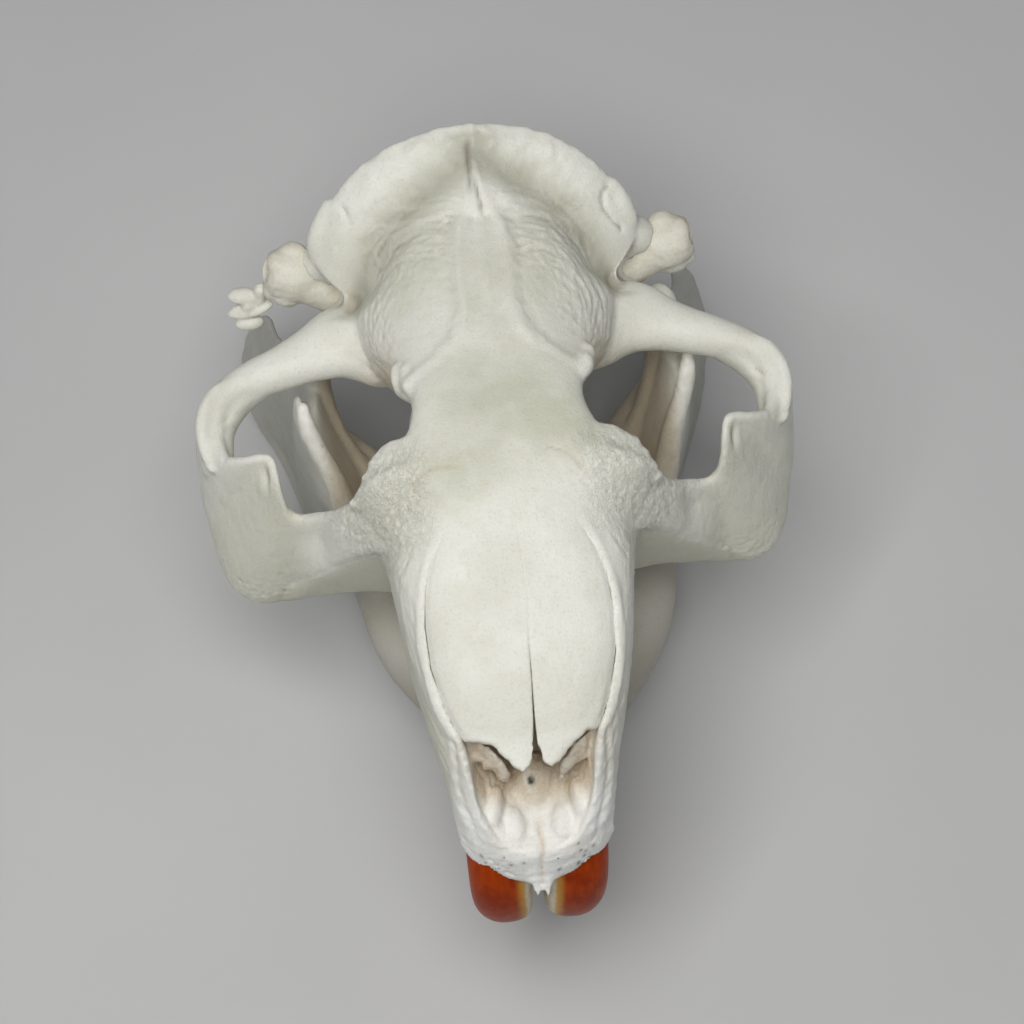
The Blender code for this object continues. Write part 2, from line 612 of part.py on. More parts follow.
def united(name, forms):
    """One Boolean union of closed forms, applied, as one object."""
    base, rest = forms[0], forms[1:]
    group = bpy.data.collections.new(name + "_forms")
    bpy.context.scene.collection.children.link(group)
    for form in rest:
        bpy.context.scene.collection.objects.unlink(form)
        group.objects.link(form)
    step = base.modifiers.new("union", "BOOLEAN")
    step.operation = "UNION"
    step.operand_type = "COLLECTION"
    step.collection = group
    step.solver = "MANIFOLD"
    applied(base)
    for form in rest:
        bpy.data.objects.remove(form)
    bpy.data.collections.remove(group)
    base.name = name
    return base


def fused(name, forms, voxel=0.7):
    """Forms joined to one closed bone with soft joints."""
    bone = united(name, forms)
    step = bone.modifiers.new("blend", "REMESH")
    step.mode = "VOXEL"
    step.voxel_size = voxel * MM
    step = bone.modifiers.new("soften", "SMOOTH")
    step.factor = 0.5
    step.iterations = 5
    applied(bone)
    bone = thinned(largest(bone)[0], DETAIL[name])
    bone.name = name
    return bone


def shaped(thing, cutter, operation="DIFFERENCE"):
    """The object cut by another, or kept only inside it."""
    step = thing.modifiers.new("cut", "BOOLEAN")
    step.operation = operation
    step.object = cutter
    step.solver = "MANIFOLD"
    return applied(thing)


def without(thing, cutters):
    """The object cut by each of the cutters, which are then removed."""
    for cutter in cutters:
        shaped(thing, cutter)
        bpy.data.objects.remove(cutter)
    return thing


def twin(thing):
    """Separate copy of an object."""
    copy = bpy.data.objects.new(thing.name, thing.data.copy())
    bpy.context.scene.collection.objects.link(copy)
    return copy


def grown(thing, by=GAP + 0.1):
    """Copy of an object swollen by a gap, to cut its socket with."""
    copy = twin(thing)
    step = copy.modifiers.new("swell", "DISPLACE")
    step.mid_level = 0
    step.strength = by * MM
    return applied(copy)


def block(name, low, high, lean=0.0):
    """Box between two corners, with its upper end shifted along Y by a lean per millimetre."""
    x0, y0, z0 = low
    x1, y1, z1 = high
    shift = lean * (z1 - z0)
    plan = [(x0, y0), (x1, y0), (x1, y1), (x0, y1)]
    rings = [[(x, y, z0) for x, y in plan], [(x, y + shift, z1) for x, y in plan]]
    return skin(name, rings)


def parted(skull):
    """The skull cut by thin slots into its named regions."""
    wide, above = 70, 102
    slots = [
        block(f"{name}_slot", (-wide, y, z), (wide, y + GAP, above), lean)
        for name, (y, z, lean) in SLOTS.items()
    ]
    for x in (-CHEEK_X, CHEEK_X):
        slots.append(block("cheek_slot", (x - GAP / 2, 30, 36), (x + GAP / 2, 73.6, 86)))
    pieces = largest(without(skull, slots), 6)
    middle = [sum((v.co for v in p.data.vertices), Vector()) / len(p.data.vertices) for p in pieces]
    arches = sorted((m.x, k) for k, m in enumerate(middle) if abs(m.x) > 25 * MM)
    trunk = sorted((m.y, k) for k, m in enumerate(middle) if abs(m.x) <= 25 * MM)
    names = ["zygomatic_arch_right", "zygomatic_arch_left", "rostrum", "orbital_block",
             "braincase", "occiput"]
    return {name: pieces[k] for name, (_, k) in zip(names, arches + trunk)}


def skull_pieces():
    """Upper skull: its regions, nasal bones, ear bones and upper gnawing teeth."""
    forms = [lines_loft("skull_box", -11.5, 111.5, 1.5, SKULL_LINES)]
    forms += upper_jaw_forms() + both(*arch_forms()) + crest_forms() + occiput_forms()
    forms += brow_forms() + nasal_forms()
    forms += both(*tooth_row("upper_molar", (10.6, 43.5), (15.4, 76), 48, BITE_Z, UPPER_TEETH))
    skull = fused("skull", forms)

    ear = fused("ear_bone", ear_forms(), 0.6)
    canal = tube("ear_canal", [(42, 101.4, 68.8, 2.2, 2.2), (29, 98.8, 62.2, 2.0, 2.0)], bulge=0.3)
    without(ear, [thinned(canal, DETAIL["ear_canal"])])
    tooth = thinned(incisor("upper_incisor"), DETAIL["upper_incisor"])
    pieces = {
        "ear_bone_left": ear,
        "ear_bone_right": other_side(ear),
        "upper_incisor_left": tooth,
        "upper_incisor_right": other_side(tooth),
    }
    sockets = [grown(thing) for thing in pieces.values()]

    without(skull, [thinned(opening, DETAIL["opening"]) for opening in skull_openings()])
    nasals, pocket = nasal_pieces(skull)
    mouth = NOSTRIL_RIM + [(-x, y) for x, y in NOSTRIL_RIM[::-1]]
    without(skull, [pocket, prism("nasal_mouth", mouth, 72, 100)] + sockets)
    return {**parted(skull), **pieces, **nasals}


def jaw_pieces():
    """Lower jaw: two halves that meet at the chin, each with its gnawing tooth."""
    half = fused("mandible", jaw_forms(), 0.6)
    tooth = thinned(incisor("lower_incisor", lower=True), DETAIL["lower_incisor"])
    without(half, [grown(tooth), block("chin_gap", (-6, 0, -10), (GAP / 2, 60, 60))])
    half = largest(half)[0]
    pieces = {}
    for side, bone, fang in (("left", half, tooth), ("right", other_side(half), other_side(tooth))):
        bone = turned_jaw(bone)
        floor = block("floor", (-90, -40, -20), (90, 150, 0))
        pieces[f"mandible_{side}"] = largest(without(bone, [floor]))[0]
        pieces[f"lower_incisor_{side}"] = turned_jaw(fang)
    return pieces


def chip_piece():
    """Small lobed scrap of bone that clings to the right ear tube."""
    return {"bone_chip_right": fused("bone_chip", chip_forms(), 0.3)}


def plain_finish(name, colour, roughness):
    """Material of one plain finish."""
    material = bpy.data.materials.new(name)
    material.use_nodes = True
    shader = material.node_tree.nodes["Principled BSDF"]
    shader.inputs["Base Color"].default_value = (*colour, 1)
    shader.inputs["Roughness"].default_value = roughness
    return material


def main():
    """Build every piece, finish it and stand the skull over the origin."""
    for thing in list(bpy.data.objects):
        bpy.data.objects.remove(thing)
    pieces = {**skull_pieces(), **jaw_pieces(), **chip_piece()}
    bone = plain_finish("bone", (0.80, 0.77, 0.67), 0.5)
    enamel = plain_finish("enamel", (0.42, 0.09, 0.012), 0.3)
    home = bpy.data.collections.new("beaver_skull")
    bpy.context.scene.collection.children.link(home)
    for name, thing in pieces.items():
        bpy.context.scene.collection.objects.unlink(thing)
        home.objects.link(thing)
        cleaned(thing)
        thing.data.transform(Matrix.Translation((-MIDDLE[0] * MM, -MIDDLE[1] * MM, 0)))
        thing.data.materials.clear()
        thing.data.materials.append(enamel if "incisor" in name else bone)
        thing.data.shade_smooth()
        thing.data.set_sharp_from_angle(angle=math.radians(40))
        thing.name = name
        thing.data.name = name


if __name__ == "__main__":
    main()
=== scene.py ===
"""Cleaned skull of a large beaver with its lower jaw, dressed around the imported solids.

Every form is drawn in millimetres in the skull's own frame: +X is the animal's left, Y runs
back from the tips of the nasal bones and Z is the height above the table. Each bone is cast
as one fine mesh from its forms, and its relief is then carved along the mesh's normals.
"""

import math

import bmesh
import bpy
import numpy as np
from bpy.props import FloatProperty, FloatVectorProperty, PointerProperty
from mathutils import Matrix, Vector


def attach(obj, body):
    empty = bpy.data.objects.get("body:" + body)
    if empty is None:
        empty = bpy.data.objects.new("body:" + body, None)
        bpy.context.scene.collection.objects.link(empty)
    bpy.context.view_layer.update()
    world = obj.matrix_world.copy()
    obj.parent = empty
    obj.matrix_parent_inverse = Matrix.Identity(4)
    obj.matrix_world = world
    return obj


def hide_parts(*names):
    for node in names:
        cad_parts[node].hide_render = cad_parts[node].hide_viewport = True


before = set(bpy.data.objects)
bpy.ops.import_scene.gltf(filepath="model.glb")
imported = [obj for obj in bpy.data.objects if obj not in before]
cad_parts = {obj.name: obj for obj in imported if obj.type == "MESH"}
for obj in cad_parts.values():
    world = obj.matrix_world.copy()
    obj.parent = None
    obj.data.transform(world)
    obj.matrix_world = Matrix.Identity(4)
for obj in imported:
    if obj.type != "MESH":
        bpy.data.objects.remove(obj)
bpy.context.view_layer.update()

bl_info = {
    "name": "Beaver Skull",
    "version": (1, 0, 0),
    "blender": (4, 5, 0),
    "location": "3D View > Sidebar > Skull",
    "description": "Casts and carves the bones and teeth of a beaver skull, with its studio",
    "category": "Add Mesh",
}

MM = 0.001
SIDES = {"left": 1, "right": -1}

# Points round a section, a ball and a cheek tooth, and rings in a ball
RING = 44
BALL_COUNT = 24
TOOTH_COUNT = 72
BALL_RINGS = 15
# How much coarser a piece's first melt is than its last
COARSER = 1.1
# Rounds of smoothing that tell a broad hollow and a close dent from the ground round them
BROAD_ROUNDS = 24
CLOSE_ROUNDS = 5

# Driving sizes in millimetres: where the origin lies along Y, and the top of the forehead
MIDDLE_Y = 50.86
FOREHEAD_Z = 90.0
# Heights beyond every form, and how far the floor lies below the jaw
ABOVE_ALL = 100.0
BELOW_ALL = -20.0
FLOOR_DROP = 0.05
# Level of the bite, the gap in it, and half the space between two cheek teeth of a row
BITE_Z = 40.3
BITE_GAP = 0.3
TOOTH_SPACE = 0.15
# How far the jaw lies askew, in degrees, and the point (x, y) it is turned round
JAW_YAW = 3.1
JAW_PIVOT = (0.9, 77.0)
# Angle in degrees from which the edges of a cheek tooth stay sharp
CHEWING_SHARP = 50


# Curves through named points

def through(knots, at, firm=True):
    """Values at the places `at` on a smooth curve through knots of (place, value, ...)."""
    knots = np.asarray(knots, float)
    place, value = knots[:, 0], knots[:, 1:]
    step = np.diff(place)[:, None]
    rise = np.diff(value, axis=0) / step
    slope = np.empty_like(value)
    slope[0], slope[-1] = rise[0], rise[-1]
    slope[1:-1] = (rise[:-1] * step[1:] + rise[1:] * step[:-1]) / (step[1:] + step[:-1])
    if firm:
        turning = rise[:-1] * rise[1:] <= 0
        limit = 3 * np.minimum(abs(rise[:-1]), abs(rise[1:]))
        slope[1:-1] = np.where(turning, 0, np.clip(slope[1:-1], -limit, limit))
    at = np.clip(np.asarray(at, float), place[0], place[-1])
    k = np.clip(np.searchsorted(place, at, side="right") - 1, 0, len(place) - 2)
    h = step[k]
    t = ((at - place[k]) / h[:, 0])[:, None]
    a, b = value[k], value[k + 1]
    return (
        a * (1 + 2 * t) * (1 - t) ** 2
        + b * t * t * (3 - 2 * t)
        + h * slope[k] * t * (1 - t) ** 2
        - h * slope[k + 1] * t * t * (1 - t)
    )


def along(rows, spacing):
    """Rows of numbers resampled evenly by the length of their first three, a path."""
    rows = np.asarray(rows, float)
    length = np.r_[0, np.cumsum(np.linalg.norm(np.diff(rows[:, :3], axis=0), axis=1))]
    count = max(4, int(round(length[-1] / spacing)) + 1)
    return through(np.c_[length, rows], np.linspace(0, length[-1], count), firm=False)


def superellipse(power_up, power_down, count=RING):
    """Points of a unit section: cosine-like across and sine-like up."""
    angle = np.linspace(0, 2 * math.pi, count, endpoint=False)
    c, s = np.cos(angle), np.sin(angle)
    power = np.where(s >= 0, power_up, power_down)
    return np.sign(c) * abs(c) ** (2 / power), np.sign(s) * abs(s) ** (2 / power)


# Closed forms, each a pair of points and faces

def facing_out(points, faces):
    """The form with its faces turned so that it holds a positive volume."""
    volume = 0.0
    for face in faces:
        a = points[face[0]]
        for two, three in zip(face[1:], face[2:]):
            volume += a @ np.cross(points[two], points[three])
    return (points, faces) if volume > 0 else (points, [face[::-1] for face in faces])


def skin(rings):
    """Closed form over a row of rings, with a middle point closing each end."""
    rings = np.asarray(rings, float)
    rows, count = rings.shape[:2]
    points = np.vstack([rings.reshape(-1, 3), rings[0].mean(0), rings[-1].mean(0)])
    one = np.arange(count)
    two = (one + 1) % count
    faces = []
    for row in range(rows - 1):
        low, high = row * count, (row + 1) * count
        faces += np.c_[low + one, low + two, high + two, high + one].tolist()
    faces += np.c_[two, one, np.full(count, rows * count)].tolist()
    last = (rows - 1) * count
    faces += np.c_[last + one, last + two, np.full(count, rows * count + 1)].tolist()
    return facing_out(points, faces)


def domed(rings, bulge):
    """The rings with smaller ones added beyond each end, so that the ends are round."""
    rings = [np.asarray(r, float) for r in rings]

    def dome(last, before):
        middle = last.mean(0)
        out = middle - before.mean(0)
        size = np.linalg.norm(last - middle, axis=1).min() * 2 * bulge
        out = out / max(np.linalg.norm(out), 1e-6) * size
        return [
            middle + (last - middle) * math.cos(a) + out * math.sin(a)
            for a in (0.5, 0.9, 1.25, 1.46)
        ]

    return dome(rings[0], rings[1])[::-1] + rings + dome(rings[-1], rings[-2])


def lines_loft(lines, spacing, end=None):
    """Loft along Y from named lines, each a list of (y, value), as far as the end."""
    start, end = lines["half"][0][0], lines["half"][-1][0] if end is None else end
    ys = np.linspace(start, end, max(4, int((end - start) / spacing) + 1))
    half, level, top, bottom, up, down = (
        through(lines[key], ys)[:, 0] for key in ("half", "level", "top", "bottom", "up", "down"))
    middle = through(lines.get("middle", [(start, 0.0), (end, 0.0)]), ys)[:, 0]
    rings = []
    for k, y in enumerate(ys):
        c, s = superellipse(up[k], down[k])
        height = np.where(s >= 0, top[k] - level[k], level[k] - bottom[k])
        rings.append(np.c_[middle[k] + half[k] * c, np.full(RING, y), level[k] + height * s])
    return skin(rings)


def tube(rows, section=None, side=(0, 0, 1), bulge=0.5):
    """Tapered limb through rows of (x, y, z, half size across, half size along side)."""
    rows = along(rows, 1.0)
    path = rows[:, :3]
    ahead = np.gradient(path, axis=0)
    ahead /= np.linalg.norm(ahead, axis=1)[:, None]
    across = np.cross(ahead, np.asarray(side, float))
    across /= np.linalg.norm(across, axis=1)[:, None]
    up = np.cross(across, ahead)
    c, s = superellipse(2.0, 2.0) if section is None else section
    rings = [
        p + row[3] * np.outer(c, a) + row[4] * np.outer(s, u)
        for p, row, a, u in zip(path, rows, across, up)
    ]
    return skin(domed(rings, bulge))


def ribbon(rows, spacing=1.0, bulge=0.35):
    """Plate through rows of (edge a, edge b, thickness at a, thickness at b)."""
    rows = along([(*a, *b, ta, tb) for a, b, ta, tb in rows], spacing)
    edge_a, edge_b = rows[:, :3], rows[:, 3:6]
    middle = (edge_a + edge_b) / 2
    ahead = np.gradient(middle, axis=0)
    across = (edge_b - edge_a) / 2
    normal = np.cross(ahead, across)
    normal /= np.linalg.norm(normal, axis=1)[:, None]
    c, s = superellipse(3.0, 3.0)
    rings = []
    for k in range(len(rows)):
        share = (1 + c) / 2
        half_thick = (rows[k, 6] * (1 - share) + rows[k, 7] * share) / 2
        rings.append(middle[k] + np.outer(c, across[k]) + np.outer(s * half_thick, normal[k]))
    return skin(domed(rings, bulge))


def turn_matrix(tilt):
    """Rotation by three angles in degrees, about X, then Y, then Z."""
    turn = np.eye(3)
    for axis, degrees in enumerate(tilt):
        c, s = math.cos(math.radians(degrees)), math.sin(math.radians(degrees))
        one, two = (axis + 1) % 3, (axis + 2) % 3
        step = np.eye(3)
        step[one, one], step[one, two], step[two, one], step[two, two] = c, -s, s, c
        turn = step @ turn
    return turn


def ball(centre, halves, tilt=(0, 0, 0)):
    """Ellipsoid with three half sizes, turned by tilt in degrees."""
    rings = []
    angle = np.linspace(0, 2 * math.pi, BALL_COUNT, endpoint=False)
    for lift in np.linspace(-1.5, 1.5, BALL_RINGS):
        ring = np.c_[np.cos(angle) * math.cos(lift), np.sin(angle) * math.cos(lift),
                     np.full(BALL_COUNT, math.sin(lift))]
        rings.append(ring * halves @ turn_matrix(tilt).T + centre)
    return skin(rings)


def prism(outline, low, high):
    """Upright solid over an outline of (x, y) points; low may be a function of y."""
    floor = low if callable(low) else lambda y: low
    return skin([[(x, y, floor(y)) for x, y in outline], [(x, y, high) for x, y in outline]])


def mirrored(form):
    """The form on the animal's other side."""
    points, faces = form
    return points * (-1, 1, 1), [face[::-1] for face in faces]


def both(*forms):
    """The forms and their twins on the other side."""
    return [x for form in forms for x in (form, mirrored(form))]


# Objects cast from forms

def heap(name, forms):
    """One mesh object that holds the forms as they are, in metres in the frame."""
    points, faces, start = [], [], 0
    for form_points, form_faces in forms:
        points.append(form_points - (0, MIDDLE_Y, 0))
        faces += [[corner + start for corner in face] for face in form_faces]
        start += len(form_points)
    data = bpy.data.meshes.new(name)
    data.from_pydata(np.vstack(points) * MM, [], faces)
    thing = bpy.data.objects.new(name, data)
    bpy.context.scene.collection.objects.link(thing)
    return thing


def settled(thing):
    """Make what the modifiers show the object's own mesh."""
    graph = bpy.context.evaluated_depsgraph_get()
    data = bpy.data.meshes.new_from_object(thing.evaluated_get(graph))
    thing.modifiers.clear()
    thing.data = data
    return thing


def melt(thing, voxel, soften):
    """Add the steps that fuse a thing to even little faces and soften its joints."""
    step = thing.modifiers.new("fuse", "REMESH")
    step.mode = "VOXEL"
    step.voxel_size = voxel * MM
    step = thing.modifiers.new("soften", "SMOOTH")
    step.factor = 0.5
    step.iterations = soften


def cut(thing, other, operation):
    """Add a Boolean step with another object."""
    step = thing.modifiers.new("cut", "BOOLEAN")
    step.operation = operation
    step.object = other
    step.solver = "MANIFOLD"


def cast(name, forms, voxel, first=None, soften=8, openings=(), linings=(), within=()):
    """Forms fused to one piece, cut by openings, lined, kept within a region and softened again.

    The first melt is a little coarser, or as coarse as asked for, or left out where it is 0.
    """
    thing = heap(name, forms)
    first = voxel * COARSER if first is None else first
    if first:
        melt(thing, first, soften)
    helpers = []
    for operation, parts in (("DIFFERENCE", [[form] for form in openings]),
                             ("UNION", [linings] if linings else []),
                             ("INTERSECT", [[form] for form in within])):
        for part in parts:
            helper = heap("helper", part)
            if operation == "UNION":
                melt(helper, voxel, 2)
            cut(thing, helper, operation)
            helpers.append(helper)
    if helpers:
        melt(thing, voxel, 2)
    settled(thing)
    for helper in helpers:
        bpy.data.objects.remove(helper)
    return keep_largest(thing)


def arrays(thing):
    """A mesh's points in millimetres in the skull's frame, its normals and its edges."""
    data = thing.data
    points = np.empty(len(data.vertices) * 3, np.float32)
    normals = np.empty_like(points)
    edges = np.empty(len(data.edges) * 2, np.int32)
    data.vertices.foreach_get("co", points)
    data.vertex_normals.foreach_get("vector", normals)
    data.edges.foreach_get("vertices", edges)
    points = points.reshape(-1, 3).astype(float) / MM + (0, MIDDLE_Y, 0)
    return points, normals.reshape(-1, 3).astype(float), edges.reshape(-1, 2)


def move_to(thing, points):
    """Move a mesh's points to places in millimetres in the skull's frame."""
    place = ((points - (0, MIDDLE_Y, 0)) * MM).astype(np.float32)
    thing.data.vertices.foreach_set("co", place.ravel())
    thing.data.update()


def keep_largest(thing):
    """Drop every loose shell but the one with the most points."""
    _, _, edges = arrays(thing)
    count = len(thing.data.vertices)
    label = np.arange(count)
    while True:
        low = np.minimum(label[edges[:, 0]], label[edges[:, 1]])
        fresh = label.copy()
        np.minimum.at(fresh, edges[:, 0], low)
        np.minimum.at(fresh, edges[:, 1], low)
        fresh = fresh[fresh]
        if (fresh == label).all():
            break
        label = fresh
    names, sizes = np.unique(label, return_counts=True)
    if len(names) == 1:
        return thing
    mesh = bmesh.new()
    mesh.from_mesh(thing.data)
    mesh.verts.ensure_lookup_table()
    loose = np.flatnonzero(label != names[sizes.argmax()])
    bmesh.ops.delete(mesh, geom=[mesh.verts[k] for k in loose], context="VERTS")
    mesh.to_mesh(thing.data)
    mesh.free()
    return thing


# Noise and relief, all in millimetres

SEED = 11
SLOPE_COUNT = 1024
SLOPES = np.random.RandomState(SEED).normal(size=(SLOPE_COUNT, 3))
SLOPES /= np.linalg.norm(SLOPES, axis=1)[:, None]
# Large odd numbers that pick a slope for each corner of the noise's grid
MIXERS = (73856093, 19349663, 83492791)


def grain(points, size, seed):
    """Smooth noise, about -1 to 1, with lumps of the given size; size may differ by axis."""
    spot = np.asarray(points, float) / size + 31.7 * seed
    cell = np.floor(spot).astype(np.int64)
    part = spot - cell
    fade = part ** 3 * (part * (part * 6 - 15) + 10)
    total = np.zeros(len(spot))
    for corner in np.ndindex(2, 2, 2):
        at = cell + corner
        pick = np.bitwise_xor.reduce(at * MIXERS, axis=1) & (SLOPE_COUNT - 1)
        weight = np.prod(np.where(corner, fade, 1 - fade), axis=1)
        total += weight * (SLOPES[pick] * (part - corner)).sum(1)
    return np.clip(total * 1.7, -1, 1)


def wrinkle(points, size, seed):
    """Sharp little ridges above and below smooth ground."""
    return (1 - abs(grain(points, size, seed))) ** 3 - 0.4


def ramp(value, start, end):
    """0 before start and 1 after end, with a smooth change between them."""
    t = np.clip((np.asarray(value, float) - start) / (end - start), 0, 1)
    return t * t * (3 - 2 * t)


def spot(points, centre, halves):
    """1 at a centre, fading to 0 at about twice the half sizes."""
    away = ((points - centre) / halves) ** 2
    return np.exp(-away.sum(1))


def trace(points, path, reach, flat=False):
    """Distance of each point from a path, and its share of the way along it.

    Points further away than the reach get a large distance. A flat trace looks straight down.
    """
    path = along(np.c_[np.asarray(path, float), np.zeros((len(path), 3 - len(path[0])))], 1.0)
    columns = 2 if flat else 3
    path = path[:, :columns]
    where = points[:, :columns]
    near = ((where > path.min(0) - reach) & (where < path.max(0) + reach)).all(1)
    picked = np.flatnonzero(near)
    place = where[picked]
    best, share = np.full(len(place), 1e6), np.zeros(len(place))
    for k, (a, b) in enumerate(zip(path, path[1:])):
        step = b - a
        t = np.clip((place - a) @ step / max(step @ step, 1e-9), 0, 1)
        away = np.linalg.norm(place - a - t[:, None] * step, axis=1)
        closer = away < best
        best[closer] = away[closer]
        share[closer] = (k + t[closer]) / (len(path) - 1)
    distance, way = np.full(len(points), 1e6), np.zeros(len(points))
    distance[picked], way[picked] = best, share
    return distance, way


def welt(points, path, width, height, flat=False, fade=0.12):
    """A ridge along a path, or a groove where the height is negative, fading at its ends."""
    distance, way = trace(points, path, reach=width * 3, flat=flat)
    ends = ramp(way, 0, fade) * ramp(1 - way, 0, fade)
    return height * np.exp(-(distance / width) ** 2) * ends


def one_side(path, sign):
    """A path moved to the animal's left, 1, or right, -1."""
    return [(x * sign, *rest) for x, *rest in path]


def twin_spots(points, centre, halves):
    """Spots at a centre on the left and at its twin on the right."""
    return sum(spot(points, *one_side([centre], sign), halves) for sign in SIDES.values())


def twin_welts(points, path, width, height, **more):
    """Welts along a path on the left and along its twin on the right."""
    return sum(welt(points, one_side(path, sign), width, height, **more) for sign in SIDES.values())


def pits(points, chance, count, radius, depth, seed):
    """Small holes sunk at random points, more often where the chance is high."""
    allowed = np.flatnonzero(chance > 0.05)
    made = np.zeros(len(points))
    if not len(allowed):
        return made
    draw = np.random.RandomState(seed)
    weight = chance[allowed] / chance[allowed].sum()
    ground = points[allowed]
    for k in draw.choice(len(allowed), size=count, p=weight):
        size = radius * draw.uniform(0.6, 1.5)
        away = ((ground - ground[k]) ** 2).sum(1) / size ** 2
        made[allowed] -= depth * draw.uniform(0.5, 1.2) * np.exp(-away)
    return np.maximum(made, -1.6 * depth)


def averaged(values, edges, times):
    """Values smoothed over the mesh, each point taking the mean of its neighbours."""
    one, two = edges[:, 0], edges[:, 1]
    count = np.bincount(one, minlength=len(values)) + np.bincount(two, minlength=len(values))
    count = np.maximum(count, 1)
    values = np.array(values, float)
    for _ in range(times):
        total = np.bincount(one, values[two], len(values))
        total += np.bincount(two, values[one], len(values))
        values = (values + total / count) / 2
    return values


def hollowness(points, normals, edges, times):
    """How deep each point lies in a dent, in millimetres; negative on ridges."""
    smooth = np.stack([averaged(points[:, k], edges, times) for k in range(3)], 1)
    return ((smooth - points) * normals).sum(1)


def note(thing, name, values):
    """Store one number for each point, for the bone's finish."""
    layer = thing.data.attributes.new(name, "FLOAT", "POINT")
    layer.data.foreach_set("value", np.asarray(values, np.float32))


def carve(thing, relief, **masks):
    """Move each point along its normal by the relief, then note its hollows and its masks."""
    points, normals, edges = arrays(thing)
    points = points + normals * relief(points)[:, None]
    points[:, 2] = np.maximum(points[:, 2], 0)
    move_to(thing, points)
    points, normals, edges = arrays(thing)
    note(thing, "hollow", hollowness(points, normals, edges, BROAD_ROUNDS))
    note(thing, "dent", hollowness(points, normals, edges, CLOSE_ROUNDS))
    for name in ("stain", "tint", "pores", "pale", "dark", "cracks"):
        note(thing, name, masks[name](points) if name in masks else np.zeros(len(points)))


def skin_grain(points):
    """The faint unevenness that all of the bone has."""
    return (0.10 * grain(points, 7.0, 1) + 0.045 * grain(points, 2.6, 2)
            + 0.02 * grain(points, 1.1, 3))


# The upper skull: lines of its long box along Y, as (y, value)
SKULL_LINES = {
    "half": [(-11.5, 5.6), (-9, 10.0), (-6.3, 12.2), (-2, 13.6), (3.3, 14.5), (8, 15.5), (14, 17.0),
             (20.5, 18.4), (28.5, 19.6), (35, 20.4), (41, 21.6), (46, 24.4), (49.5, 24.8), (53.5, 18.9),
             (58.4, 15.8), (64, 14.5), (68, 15.4), (72, 17.4), (76, 19.6), (82, 22.2), (89, 24.0),
             (96, 25.4), (102, 26.0), (107, 24.0), (111.5, 17.0)],
    "top": [(-11.5, 60.0), (-9.4, 65.5), (-5, 71.3), (0, 76.0), (6, 80.3), (12, 82.8), (25, 85.9),
            (36, 87.8), (46, 89.4), (56, FOREHEAD_Z), (66, 89.2), (76, 88.0), (90, 86.6), (100, 84.4),
            (107, 81.0), (111.5, 74.0)],
    "level": [(-11.5, 56.0), (0, 63.0), (12, 68.0), (30, 71.0), (38, 71.0), (44, 73.0), (50, 82.5),
              (58, 85.0), (66, 83.0), (72, 76.0), (80, 70.0), (95, 66.0), (111.5, 63.0)],
    "bottom": [(-11.5, 53.4), (-4, 52.0), (6, 52.0), (20, 52.0), (34, 49.4), (46, 48.0), (60, 50.0),
               (72, 53.0), (82, 53.0), (95, 50.0), (105, 49.0), (111.5, 52.0)],
    "up": [(-11.5, 2.2), (-4, 2.6), (6, 3.6), (20, 4.2), (33, 4.1), (40, 3.1), (45, 2.8), (50, 3.4),
           (56, 3.6), (66, 3.2), (74, 2.4), (90, 2.1), (111.5, 2.2)],
    "down": [(-11.5, 2.4), (0, 2.2), (14, 1.8), (32, 1.7), (46, 1.35), (58, 1.15), (66, 1.2),
             (76, 1.7), (88, 2.2), (111.5, 2.2)],
}

# The block of the upper jaw that holds the cheek teeth
PALATE_LINES = {
    "half": [(34, 7.0), (40, 12.4), (46, 14.6), (58, 15.2), (70, 15.4), (77, 14.4), (82, 10.6)],
    "level": [(34, 52.0), (82, 52.0)],
    "top": [(34, 60.0), (58, 66.0), (82, 62.0)],
    "bottom": [(34, 48.0), (42, 45.2), (60, 45.0), (78, 45.5), (82, 48.0)],
    "up": [(34, 2.2), (82, 2.2)],
    "down": [(34, 2.6), (44, 4.5), (76, 4.5), (82, 2.6)],
}

# The nasal cavity, a funnel open at the front; its level line is the height of its rim
NOSTRIL_LINES = {
    "half": [(-20, 5.6), (-10.6, 5.6), (-9, 7.0), (-5.5, 8.6), (-1, 9.8), (6, 10.3), (12, 9.8), (16, 8.0),
             (20, 4.5)],
    "level": [(-20, 66.8), (-10.6, 66.4), (-5.5, 69.4), (0, 73.4), (5, 75.6), (12, 77.2), (20, 79.0)],
    "top": [(-20, 96.0), (-3.0, 96.0), (-2.0, 76.0), (6, 77.6), (12, 78.9), (20, 80.5)],
    "bottom": [(-20, 66.2), (-10.6, 65.8), (-8, 65.3), (-4, 64.9), (0, 64.4), (4, 63.2), (9, 61.6),
               (16, 61.4), (20, 64.0)],
    "up": [(-20, 3.0), (20, 3.0)],
    "down": [(-20, 1.9), (-6, 1.75), (4, 1.75), (20, 1.9)],
}

# Half of the nasal bones' outline from the back to the front corner, as (half width, y)
NASAL_EDGE = [(0.5, 46.0), (6.5, 45.0), (9.9, 43.2), (12.2, 39.5), (13.8, 35.5), (15.2, 30.8),
              (15.8, 25.0), (15.4, 18.4), (13.8, 12.0), (12.4, 8.5), (10.9, 6.5)]
# The bed that the nasal bones lie in, a little inside their edge so that no gap shows
NASAL_BED = [(0.5, 44.0), (5.8, 43.2), (9.0, 41.6), (11.5, 38.4), (13.45, 35.2), (14.95, 30.8),
             (15.55, 25.0), (15.15, 18.4), (13.55, 12.0), (12.15, 8.5), (10.65, 6.5), (9.4, 3.0)]
